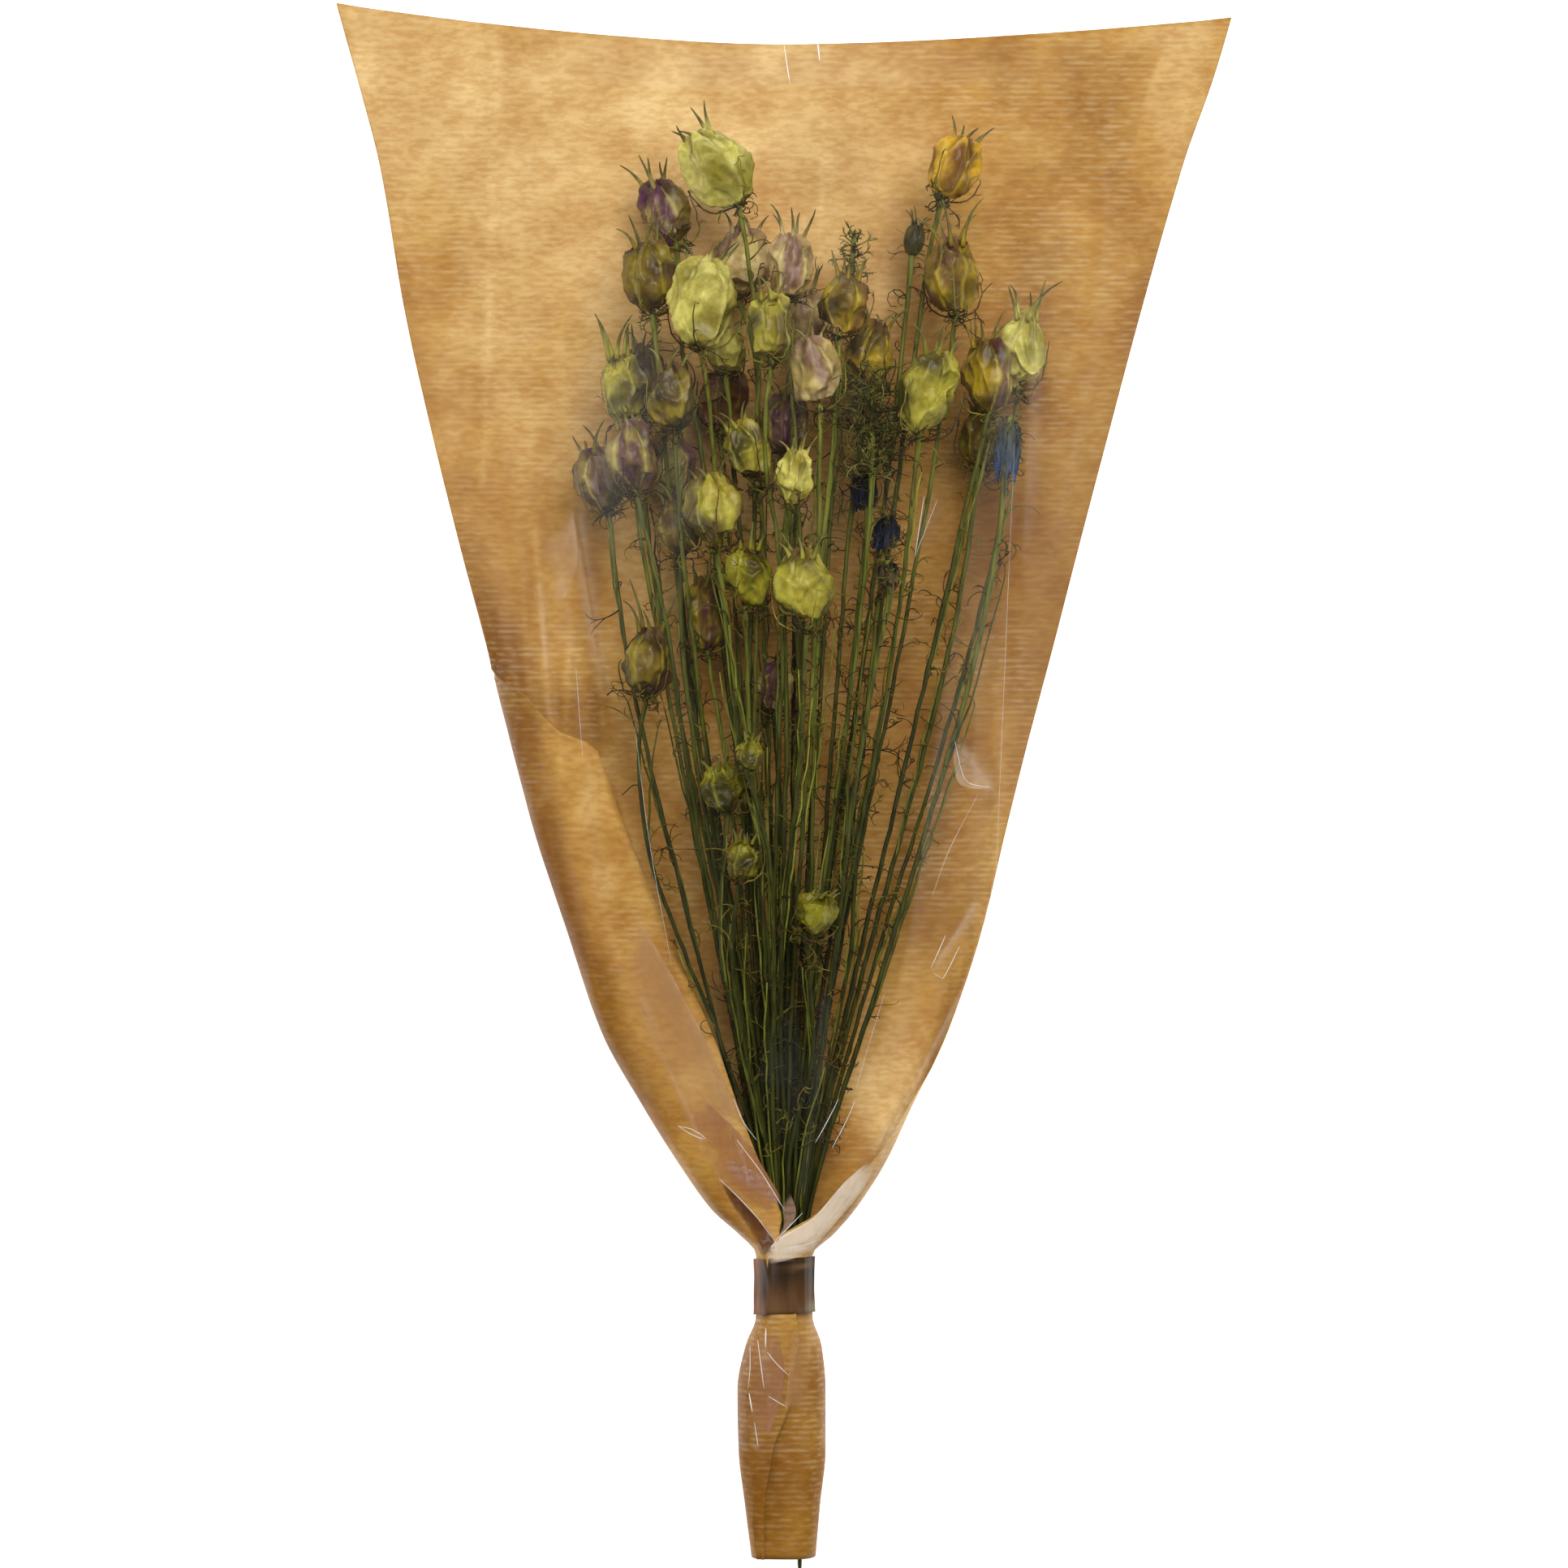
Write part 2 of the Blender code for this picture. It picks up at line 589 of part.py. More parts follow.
def stem_route(strand, draw, foot_y):
    """Points of a stem from its cut end, straight through the handle and neck, to inside its head."""
    head = strand.head
    slot_x, slot_z = strand.points[0]
    points = [Vector((slot_x, foot_y, slot_z)), Vector((slot_x, NECK_Y, slot_z))]
    radii = [NECK_STEM_RADIUS, NECK_STEM_RADIUS]
    for y, (x, z) in zip(strand.ys[1:], strand.points[1:]):
        points.append(Vector((x, y, z)))
        thin = min((y - NECK_Y) / 60, 1)
        radii.append(NECK_STEM_RADIUS + (STEM_RADIUS - NECK_STEM_RADIUS) * thin)
    frame = head_frame(strand)
    inside = -0.3 * head.length
    if head.kind in ("bloom", "spray"):
        inside = 0.45 * head.length
        points[-1] = frame @ Vector((0, 0, -0.5 * head.length))
    points.append(frame @ Vector((0, 0, inside)))
    radii.append(STEM_RADIUS * 0.8)
    return points, radii


def fuse(name, body, parts):
    """Join a body and the parts that grow from it into one closed solid."""
    group = bpy.data.collections.new(name + "_parts")
    HELPERS.children.link(group)
    for part in parts:
        HELPERS.objects.unlink(part)
        group.objects.link(part)
    union = body.modifiers.new("join", "BOOLEAN")
    union.operation = "UNION"
    union.operand_type = "COLLECTION"
    union.collection = group
    union.solver = "EXACT"
    graph = bpy.context.evaluated_depsgraph_get()
    mesh = bpy.data.meshes.new_from_object(body.evaluated_get(graph))
    mesh.name = name
    for part in parts:
        bpy.data.objects.remove(part)
    bpy.data.collections.remove(group)
    bpy.data.objects.remove(body)
    bm = bmesh.new()
    bm.from_mesh(mesh)
    bmesh.ops.dissolve_degenerate(bm, edges=bm.edges, dist=MERGE_MM * METRES_PER_MM)
    bmesh.ops.triangulate(bm, faces=bm.faces)
    bm.to_mesh(mesh)
    bm.free()
    solid = bpy.data.objects.new(name, mesh)
    BUNCH.objects.link(solid)
    return solid


def make_strand(strand, materials, draw, foot_y):
    """One stem with everything that grows on it, as one solid."""
    head = strand.head
    frame = head_frame(strand)
    points, radii = stem_route(strand, draw, foot_y)
    stem = sweep(head.name + "_stem", points, radii)
    if head.kind == "pod":
        down = (points[-3] - points[-2]).normalized()
        parts = [capsule("capsule", head, frame, LOBES, LOBE_DEPTH, draw)]
        parts += bracts(head, frame, draw, points[-2], down)
        material = materials["pod"]
    elif head.kind == "bud":
        parts = [capsule("bud", head, frame, 3, 0.1, draw)]
        material = materials["foliage"]
    elif head.kind == "bloom":
        parts = drooping_petals(head, frame, draw)
        material = materials["bloom"]
    else:
        parts = leaf_threads(head, frame, draw)
        material = materials["foliage"]
    solid = fuse(head.name, stem, parts)
    solid.data.materials.clear()
    solid.data.materials.append(material)
    return solid


def make_sheet(name, sections, ys, thickness, offset, material, mouth=None):
    """A thin shell lofted through cross-sections, all with the same number of points."""
    columns = len(sections[0])
    bm = bmesh.new()
    bmesh.ops.create_grid(bm, x_segments=columns - 1, y_segments=len(ys) - 1, size=1.0)
    bm.verts.ensure_lookup_table()
    for index, vertex in enumerate(bm.verts):
        row, column = divmod(index, columns)
        x, z = sections[row][column]
        y = ys[row]
        if mouth is not None and row == 0:
            y = mouth(x)
        vertex.co = Vector((x, y, z)) * METRES_PER_MM
    bmesh.ops.triangulate(bm, faces=bm.faces, quad_method="FIXED")
    mesh = bpy.data.meshes.new(name)
    bm.to_mesh(mesh)
    bm.free()
    sheet = bpy.data.objects.new(name, mesh)
    shell = sheet.modifiers.new("thickness", "SOLIDIFY")
    shell.thickness = thickness * METRES_PER_MM
    shell.offset = offset
    shell.use_even_offset = True
    sheet.data.materials.append(material)
    BUNCH.objects.link(sheet)
    return sheet


def make_paper(material):
    sections = [paper_section(row) for row in ROWS]
    ys = [row.y for row in ROWS]
    return make_sheet("kraft_paper", sections, ys, PAPER_THICKNESS, -1.0, material, mouth_y)


def make_film(material):
    rows = [row for row in ROWS if row.y >= FILM_FOOT_Y]
    rows.append(row_at(FILM_FOOT_Y))
    sections = [film_section(row) for row in rows]
    ys = [row.y for row in rows]
    ys[0] = FILM_MOUTH_Y
    return make_sheet("clear_film", sections, ys, FILM_THICKNESS, 1.0, material, lambda x: mouth_y(x) - 1.0)


def make_tape(material):
    """A flat band that closes round the neck, over the film."""
    outline = tape_section(row_at((TAPE_TOP_Y + TAPE_FOOT_Y) / 2))
    bm = bmesh.new()
    foot = [bm.verts.new(Vector((x, TAPE_FOOT_Y, z)) * METRES_PER_MM) for x, z in outline]
    edges = [bm.edges.new((foot[k], foot[(k + 1) % len(foot)])) for k in range(len(foot))]
    lifted = bmesh.ops.extrude_edge_only(bm, edges=edges)
    moved = [item for item in lifted["geom"] if isinstance(item, bmesh.types.BMVert)]
    bmesh.ops.translate(bm, verts=moved, vec=Vector((0, TAPE_TOP_Y - TAPE_FOOT_Y, 0)) * METRES_PER_MM)
    bmesh.ops.recalc_face_normals(bm, faces=bm.faces)
    mesh = bpy.data.meshes.new("neck_tape")
    bm.to_mesh(mesh)
    bm.free()
    tape = bpy.data.objects.new("neck_tape", mesh)
    shell = tape.modifiers.new("thickness", "SOLIDIFY")
    shell.thickness = TAPE_THICKNESS * METRES_PER_MM
    shell.offset = 1.0
    shell.use_even_offset = True
    tape.data.materials.append(material)
    BUNCH.objects.link(tape)
    return tape


def make_bunch():
    materials = {
        "pod": make_material("dried_pod", (0.42, 0.43, 0.14), 0.5),
        "foliage": make_material("dried_foliage", (0.11, 0.14, 0.04), 0.7),
        "bloom": make_material("blue_petal", (0.04, 0.06, 0.2), 0.7),
    }
    strands = lay_out()
    draw = random.Random(SEED + 1)
    long_stems = sorted(strands, key=lambda s: abs(s.points[0][0] - 5.5) + 0.2 * abs(s.points[0][1] - 13))[:2]
    for strand in strands:
        foot_y = STEM_FOOT_Y + draw.uniform(-3.0, 3.0)
        if strand in long_stems:
            foot_y = LONG_STEM_FOOT_Y + 1.8 * long_stems.index(strand)
        make_strand(strand, materials, draw, foot_y)


for old in list(bpy.data.objects):
    bpy.data.objects.remove(old)
BUNCH = new_collection("nigella_bunch")
HELPERS = new_collection("helpers")
PROFILE = make_profile()
make_paper(make_material("kraft_paper", (0.68, 0.43, 0.18), 0.8))
make_film(make_material("clear_film", (0.9, 0.9, 0.88), 0.08, alpha=0.25))
make_tape(make_material("brown_tape", (0.3, 0.16, 0.07), 0.3))
make_bunch()
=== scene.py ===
"""Looks of a wrapped bunch of dried nigella seed pods, lying on its paper back.

Lengths are in millimetres and become metres when a mesh is made. The layout of the bunch repeats the one
that the construction was made from, so each dressed piece stands where its plain solid stands.
"""

import math
import random
from collections import namedtuple

import bpy
import numpy as np
from mathutils import Matrix, Vector, noise


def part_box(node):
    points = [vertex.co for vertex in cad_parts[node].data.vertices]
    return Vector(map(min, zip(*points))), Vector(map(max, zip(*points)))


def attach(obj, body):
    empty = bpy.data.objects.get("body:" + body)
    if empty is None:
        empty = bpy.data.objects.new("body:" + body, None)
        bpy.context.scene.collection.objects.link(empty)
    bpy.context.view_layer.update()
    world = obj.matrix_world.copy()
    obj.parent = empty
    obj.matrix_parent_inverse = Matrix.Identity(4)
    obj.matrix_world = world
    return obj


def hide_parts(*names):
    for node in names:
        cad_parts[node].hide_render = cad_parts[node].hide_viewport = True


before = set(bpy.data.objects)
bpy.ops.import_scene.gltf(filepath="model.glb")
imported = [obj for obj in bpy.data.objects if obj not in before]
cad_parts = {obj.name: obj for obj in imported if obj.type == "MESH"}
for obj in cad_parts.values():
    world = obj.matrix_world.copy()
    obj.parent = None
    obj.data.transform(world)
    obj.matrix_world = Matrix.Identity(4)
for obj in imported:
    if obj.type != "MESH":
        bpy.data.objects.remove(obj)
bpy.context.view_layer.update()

METRES_PER_MM = 0.001

# Photograph. The camera's middle lies a little above the bunch's.
PHOTO_SIZE_PX = 1932
MM_PER_PX = 0.28
CAMERA_HEIGHT = 1600.0
CAMERA_Y = 0.42

# Kraft paper sleeve: the solid's thickness and the shown one. KRAFT_STEPS are the steps across half the
# sheet, over its flat, its turn and its lap.
PAPER_THICKNESS = 0.6
KRAFT_THICKNESS = 0.22
KRAFT_ROWS = 120
KRAFT_NECK_ROWS = 75
KRAFT_STEPS = (78, 14, 8)
MOUTH_Y = 269.5
MOUTH_DIP = 14.0
RIGHT_CORNER_DROP = 4.8
MOUTH_BEND_Y = 215
NECK_ROWS_Y = -100

# Clear film front
FILM_GAP = 1.2
FILM_THICKNESS = 0.08
FILM_FOOT_Y = -227.0
FILM_ROWS = 180
FILM_COLUMNS = 160
GATHER_ROWS = 34
GATHER_COLUMNS = 14

# Tape round the neck
TAPE_TOP_Y = -162.0
TAPE_FOOT_Y = -181.0
TAPE_SHOWN_THICKNESS = 0.12
TAPE_ROWS = 16
TAPE_COLUMNS = 96
TAPE_GAP = 0.9

# Stems
STEM_RADIUS = 0.85
NECK_STEM_RADIUS = 0.72
STEM_CLEARANCE = 0.2
NECK_Y = -158.0
FAN_EASE = 25.0
FAN_TOP_Y = 215.0
BUNDLE_Z = 8.9
BUNDLE_HALF_WIDTH = 7.2
BUNDLE_HALF_HEIGHT = 5.8
SLOT_PITCH = 1.8
STATION_STEP = 34
NECK_BLEND = 60
BOW_SKEW = 2.2
LEAFLESS_Y = -125
TABLE_CLEARANCE = 1.0
FILM_CLEARANCE = 1.5

# Settling of the stems and heads. In a push a head gives way by a part of what a bare stem does.
SEED = 11
LEVEL_STEP = 4.0
SETTLE_ROUNDS = 420
SETTLE_REACH = 160
HEAD_GIVES_WAY = 0.25
STIFFNESS = 0.12

# Pods, and the angle in radians from each thread or petal to the next, which spreads them evenly
LOBES = 5
POD_MARGIN = 1.9
POD_ROWS = 50
POD_COLUMNS = 76
HORN_STEPS = 9
LEAF_ANGLE = 2.4
BUD_THREADS = 12
BLOOM_THREADS = 34
PETALS = 26

# Where each head is seen from straight above, its middle in x and y, its height z above the table, its
# width and length, the lean of its tip to the right in degrees, and the length of its horns. The pods are
# numbered in this order, and a pod's kind is the name of its look.
Head = namedtuple("Head", "name kind x y z width length lean horn")
PODS = [
    ("pale", -23, 213, 40, 23, 27, -31, 11),
    ("purple", -41, 198, 24, 18, 23, -20, 11),
    ("olive", -46, 175, 28, 18, 24, -6, 9),
    ("pale", -27, 167, 53, 24, 29, 4, 9),
    ("cream", -15, 181, 22, 21, 23, 8, 9),
    ("cream", 2, 179, 36, 17, 21, 4, 10),
    ("green", -7, 158, 54, 17, 24, -2, 7),
    ("cream", 6, 163, 20, 17, 20, 6, 9),
    ("golden", 20, 167, 42, 18, 21, 10, 7),
    ("golden", 29, 149, 26, 17, 22, 12, 9),
    ("cream", 8, 143, 50, 19, 23, -12, 8),
    ("yellow", 59, 213, 30, 18, 21, 22, 7),
    ("golden", 58, 176, 36, 19, 26, -3, 13),
    ("green", 50, 136, 47, 21, 30, 14, 9),
    ("golden", 69, 142, 36, 18, 25, -4, 10),
    ("pale", 82, 151, 24, 17, 27, 6, 14),
    ("olive", 68, 121, 20, 16, 20, 3, 7),
    ("green", -56, 139, 38, 17, 23, -8, 14),
    ("olive", -47, 141, 20, 16, 24, 2, 9),
    ("olive", -37, 134, 44, 17, 21, -3, 9),
    ("brown", -21, 135, 26, 17, 21, 6, 9),
    ("purple", -63, 106, 32, 18, 22, -14, 10),
    ("purple", -52, 114, 48, 18, 24, -6, 8),
    ("purple", -39, 111, 24, 17, 22, -4, 8),
    ("green", -13, 115, 44, 16, 23, -20, 7),
    ("pale", 1, 106, 47, 13, 18, 8, 8),
    ("green", -22, 95, 53, 20, 24, -6, 8),
    ("olive", -36, 90, 30, 16, 20, -8, 7),
    ("purple", 1, 125, 26, 16, 20, 2, 8),
    ("bright", -14, 73, 48, 16, 23, 3, 6),
    ("green", 5, 68, 50, 20, 26, -4, 9),
    ("olive", -46, 43, 36, 18, 23, 2, 15),
    ("olive", -28, 59, 24, 15, 24, -2, 7),
    ("round", -12, 11, 44, 10, 11, 10, 3),
    ("round", -20, -1, 36, 15, 16, -15, 4),
    ("round", -13, -25, 36, 13, 13, 5, 4),
    ("round", 10, -44, 33, 16, 15, 25, 4),
    ("purple", -4, 34, 26, 13, 16, 4, 5),
    ("pale", -19, 150, 30, 14, 16, 6, 5),
]
OTHER_HEADS = [
    ("dark_bud", "bud", 45, 188, 20, 7, 11, 10, 6),
    ("blue_bloom_1", "blue", 77, 116, 28, 9, 24, 6, 0),
    ("blue_bloom_2", "blue", 29, 102, 36, 9, 15, -8, 0),
    ("blue_bloom_3", "blue", 35, 87, 28, 9, 14, 10, 0),
    ("dried_bloom", "dried", 36, 72, 44, 8, 12, -5, 0),
    ("leafy_spray", "spray", 33, 124, 38, 15, 30, 0, 0),
    ("leafy_tip", "spray", 24, 185, 34, 7, 16, 5, 0),
    ("thin_sprig", "bud", 23, -5, 26, 5, 7, 12, 4),
]
HEADS = [Head(f"nigella_{number:02d}", *pod) for number, pod in enumerate(PODS, 1)]
HEADS += [Head(*other) for other in OTHER_HEADS]

# Stems that swing out to the side on their way up: how far, in millimetres to the right.
STEM_BOWS = {
    "nigella_32": -10, "nigella_22": -6, "nigella_18": -4, "nigella_16": 7, "blue_bloom_1": 9,
    "nigella_17": 5, "nigella_37": 5, "nigella_36": -6, "nigella_35": -7, "thin_sprig": 8,
}

# Rows of the sleeve from mouth to foot. edge: half width seen from above. roll: radius of the turned-in
# side. turn: degrees that the side is turned. lap: flat flap past the turn. lift: height off the table.
Row = namedtuple("Row", "y left_edge right_edge left_roll right_roll left_turn right_turn "
                        "left_lap right_lap lift crown")
ROWS = [
    Row(269.5, 154.3, 154.3, 14, 14, 8, 8, 8, 8, 0, 26),
    Row(240, 146, 146, 14, 14, 9, 9, 8, 8, 0, 50),
    Row(212, 139, 137, 14, 14, 10, 10, 8, 8, 0, 63),
    Row(165, 131, 123.5, 14, 14, 12, 11, 8, 8, 0, 68),
    Row(120, 121, 111.5, 13, 13, 14, 12, 8, 8, 0, 68),
    Row(80, 111, 101, 12, 12, 18, 13, 8, 8, 0, 66),
    Row(45, 101.5, 92, 10, 12, 50, 14, 4, 8, 0, 62),
    Row(28, 97.25, 87.4667, 9, 11, 165, 15, 5, 8, 0, 59.1667),
    Row(18, 94.75, 84.8, 8.5, 11, 174, 16, 11, 8, 0, 57.5),
    Row(13, 93.4667, 83.5, 8.5, 11, 176, 16, 21.5, 8, 0, 56.6667),
    Row(-15, 86, 76.5, 8.5, 11, 176, 20, 24, 8, 0, 52),
    Row(-50, 74.5, 68, 8.5, 10, 180, 32, 26.5, 8, 0, 46),
    Row(-85, 62.5, 56, 8.6, 9, 180, 66, 29.5, 4, 0, 38),
    Row(-110, 48.5, 44, 8.5, 8.8, 180, 112, 24.5, 2, 0, 32),
    Row(-130, 36, 34.5, 8.2, 9.2, 180, 140, 20, 3, 0, 25),
    Row(-146, 24.5, 24, 8.1, 9.2, 180, 172, 15.4, 5, 0.3, 19.5),
    Row(-154, 15.5, 17, 8.1, 9.2, 180, 180, 6, 9.5, 0.8, 18),
    Row(-161, 9.6, 9.8, 8.1, 9.1, 180, 180, 3, 7, 0.8, 18),
    Row(-182, 9.6, 9.8, 9.1, 8.0, 180, 180, 5, 5, 0.8, 18),
    Row(-192, 13.2, 12.9, 9.2, 8.1, 180, 180, 9, 7, 0.2, 18),
    Row(-207, 16, 14.3, 9.3, 8.2, 180, 180, 9.5, 12, 0, 18),
    Row(-228, 15.6, 14.3, 9.2, 8.1, 180, 180, 2.5, 14, 0, 18),
    Row(-247, 13.4, 12.4, 9, 7.9, 164, 180, 0.2, 15, 0, 18),
    Row(-264.5, 11.2, 10.9, 8.8, 7.7, 148, 180, 0.2, 12.5, 0, 17),
]

SUPPORT_SHARE = 0.6
SUPPORT_FALL = 0.28

# Looks of the pods. Colours are red, green and blue as seen on a screen, 0 to 255.
PodLook = namedtuple("PodLook", "light deep stripe striped seam ribs dents dent_depth")
POD_LOOKS = {
    "pale": PodLook((222, 214, 108), (148, 140, 44), (150, 104, 90), 0.20, (224, 214, 124), 0.03, 15, 0.15),
    "cream": PodLook((230, 206, 136), (172, 150, 82), (108, 52, 84), 0.95, (228, 212, 140), 0.11, 14, 0.13),
    "green": PodLook((178, 170, 58), (70, 68, 6), (140, 88, 76), 0.28, (196, 190, 86), 0.04, 16, 0.18),
    "bright": PodLook((160, 154, 34), (64, 62, 4), (110, 46, 36), 0.50, (184, 178, 60), 0.05, 16, 0.19),
    "yellow": PodLook((226, 178, 32), (124, 86, 4), (122, 54, 56), 0.45, (220, 184, 60), 0.32, 9, 0.12),
    "olive": PodLook((142, 124, 24), (66, 58, 4), (80, 32, 46), 1.0, (172, 156, 50), 0.08, 14, 0.15),
    "golden": PodLook((176, 148, 26), (82, 66, 2), (84, 34, 46), 0.8, (202, 178, 54), 0.13, 14, 0.15),
    "purple": PodLook((172, 154, 80), (98, 86, 30), (86, 36, 70), 1.5, (208, 190, 112), 0.11, 14, 0.14),
    "brown": PodLook((134, 98, 34), (76, 48, 14), (92, 34, 32), 1.1, (160, 128, 54), 0.07, 13, 0.15),
    "round": PodLook((140, 134, 18), (54, 52, 2), (50, 42, 8), 0.5, (160, 158, 44), 0.08, 13, 0.18),
}
BUD_LOOK = PodLook((44, 46, 20), (24, 26, 12), (34, 28, 30), 0.6, (58, 60, 28), 0.12, 3, 0.06)

# Folds of a pod's skin, from large to small: scale of the noise on each axis, shift of its seed, power that
# sharpens its ridges, level that stays where it was, and height.
SkinFold = namedtuple("SkinFold", "scale shift power level height")
SKIN_FOLDS = [
    SkinFold((1.7, 1.7, 0.7), 0, 1.0, 0.8, 1.0),
    SkinFold((3.0, 3.0, 1.5), 9, 0.8, 0.7, 0.9),
    SkinFold((5.5, 5.5, 3.5), 15, 0.8, 0.7, 0.36),
]

# Creases as raised lines, from one end to the other in x and y, with their width and height.
Crease = namedtuple("Crease", "x1 y1 x2 y2 width height")
# The paper's creases also lighten its colour along them, and the sunken one darkens it: painted light and
# shade.
PAPER_CREASES = [Crease(*line) for line in (
    (-99, 262, -104, 100, 3.0, 0.8),
    (-86, 90, -80, 8, 3.4, 1.2),
    (78, 150, 72, -60, 3.0, 0.7),
    (-66, 198, -46, 205, 3.0, 0.9),
    (14, 262, 12, 180, 3.0, 0.5),
    (-36, 258, -42, 215, 3.2, 0.5),
    (-64, 212, -90, 204, 3.0, 0.5),
    (-112, 190, -96, 150, 3.6, 0.6),
    (90, 235, 118, 210, 3.6, 0.5),
    (-74, 50, -76, 4, 3.6, 1.1),
    (-90, 78, -88, 20, 4.0, 1.0),
    (-64, 44, -62, 14, 3.0, 0.9),
    (-58, 0, -44, -44, 3.2, 0.8),
    # Sunken crease by the left flap's tip, painted darker as fold shade
    (-75, -6, -65, 11, 2.5, -0.9),
    (-74, -8, -64, -60, 5.0, 0.9),
)]
FILM_CREASES = [Crease(*line) for line in (
    (46, 80, 52, 96, 3.0, 1.0),
    (58, 14, 71, -2, 4.0, 1.2),
    (50, -62, 66, -40, 3.0, 1.2),
    (30, -128, 66, -60, 3.0, 1.0),
    (-70, 92, -60, 30, 4.0, 0.8),
    (-20, -136, -50, -70, 3.0, 1.0),
    (-8, -140, -30, -80, 3.0, 1.0),
    (6, -140, 14, -70, 3.0, 0.8),
    (-82, 70, -78, 20, 3.0, 0.9),
)]

# White lines painted along sharp folds in the film, as painted highlights: points in x and y, the fold's
# width, and how much it covers.
FILM_FOLD_HIGHLIGHTS = [
    ([(0, 250), (2, 234)], 0.5, 0.85),
    ([(11, 256), (12, 244)], 0.8, 0.85),
    ([(-36, -116), (-31, -117), (-26.5, -120), (-31, -119), (-36, -116)], 0.45, 0.85),
    ([(-22, -134), (-11, -145), (-4, -154)], 0.45, 0.85),
    ([(-16, -120), (-8, -131), (0, -144)], 0.5, 0.85),
    ([(18.5, -106), (15, -113), (10.6, -121)], 0.45, 0.85),
    ([(24, -107), (21, -114), (16.4, -123)], 0.45, 0.85),
    ([(-17, -106), (-13.6, -114), (-9.3, -120)], 0.4, 0.85),
    ([(6.3, -145.5), (-2.8, -154.7)], 0.5, 0.85),
    ([(1, -157.5), (6, -156.8), (11, -155)], 0.4, 0.7),
    ([(-6.2, -185), (-6.3, -191.5)], 0.8, 0.85),
    ([(-9, -189), (-6.8, -205.5)], 0.45, 0.85),
    ([(-5.7, -193), (-2, -197.5), (1.7, -201)], 0.5, 0.85),
    ([(-5.3, -208), (1.3, -212)], 0.45, 0.85),
    ([(-11.6, -191.4), (-11.6, -199), (-12.3, -205.5)], 0.35, 0.85),
    ([(-11.9, -207), (-10.8, -213.5)], 0.8, 0.85),
    ([(-10.1, -217), (-8.8, -225.3)], 0.4, 0.85),
    ([(46.5, 96), (43.5, 76)], 0.5, 0.45),
    ([(51, 95), (43.5, 76)], 0.35, 0.35),
    ([(57.7, 14.7), (60, 5), (62.7, 0.7), (70.3, -0.7)], 0.4, 0.85),
    ([(55, -51), (50, -62)], 0.4, 0.85),
    ([(60, -55), (54, -66), (51, -64)], 0.4, 0.85),
    ([(66, -3), (56, -22), (50, -38)], 0.3, 0.35),
    ([(77.5, 115), (75, 40), (72, -60)], 0.28, 0.35),
    ([(-50, 20), (-45, -20), (-38, -60)], 0.28, 0.35),
    ([(-70, 40), (-68, 10)], 0.3, 0.35),
    ([(34, -70), (28, -90), (24, -104)], 0.3, 0.35),
]

# Places where the film is gathered double and looks like a tinted skin: its two sides as points in x and y,
# its colour, and how much it covers along the first and the second side. Their colours are partly the paper
# seen through doubled film and partly painted sheen; the dark brown one is painted shade.
Gather = namedtuple("Gather", "near far tint near_cover far_cover")
GATHERED_SHEENS = [
    Gather([(-29, -104), (-13.5, -119.5), (-8, -128), (-0.5, -141)],
           [(-36, -112), (-24, -124), (-21.6, -134), (-4, -147)], (172, 116, 76), 0.6, 0.45),
    Gather([(-52, -40), (-33, -73), (-14, -113)], [(-58, -66), (-48, -90), (-30, -118)],
           (186, 142, 100), 0.42, 0.0),
    Gather([(-19.6, -126.7), (-7.6, -132.6), (-1.5, -141)], [(-21.6, -128), (-14.5, -135), (-2, -142.5)],
           (176, 136, 116), 0.6, 0.5),
    # Painted shade in the fold under the left flap, as a dark brown patch
    Gather([(-22, -134.3), (-16.8, -139), (-4.5, -153), (-3.5, -160)],
           [(-22, -135), (-16.5, -145), (-11.5, -152), (-7.5, -161)], (88, 44, 20), 0.9, 0.5),
    # Painted sheen on the right flap's shiny band across the neck
    Gather([(29.4, -127.5), (20.7, -135), (10, -147), (-1.7, -154), (-6.5, -160)],
           [(32, -127.5), (26, -139), (11.5, -156), (8.5, -159), (4, -161), (-5, -163)],
           (232, 212, 186), 0.85, 0.7),
    Gather([(2, -138), (4, -146), (-1, -154)], [(-1, -143), (0, -149), (-3, -156)],
           (168, 132, 110), 0.6, 0.5),
    # Painted sheen on the film at the left of the sheet
    Gather([(-71, 93), (-69, 76), (-74, 62)], [(-84, 80), (-78, 72), (-78, 62)],
           (206, 164, 128), 0.24, 0.08),
    # Painted sheen on the film at the right of the sheet
    Gather([(57.5, 14), (57.5, 6), (60, 0), (69, -1.5)], [(60.5, 15), (65, 9), (68, 4), (70.5, -0.5)],
           (228, 200, 164), 0.24, 0.08),
    Gather([(-2, -186), (0, -203), (-5, -222)], [(-12, -186), (-13.5, -203), (-14, -222)],
           (164, 114, 80), 0.6, 0.1),
    Gather([(3, -184), (1.5, -200), (0, -212)], [(9, -186), (10, -200), (9, -214)], (182, 136, 88), 0.5, 0.0),
]


def row_at(y):
    """The sleeve's row at a height along Y, straight between the rows listed above."""
    if y >= ROWS[0].y:
        return ROWS[0]
    for upper, lower in zip(ROWS, ROWS[1:]):
        if y >= lower.y:
            share = (upper.y - y) / (upper.y - lower.y)
            return Row(*[a + (b - a) * share for a, b in zip(upper, lower)])
    return ROWS[-1]


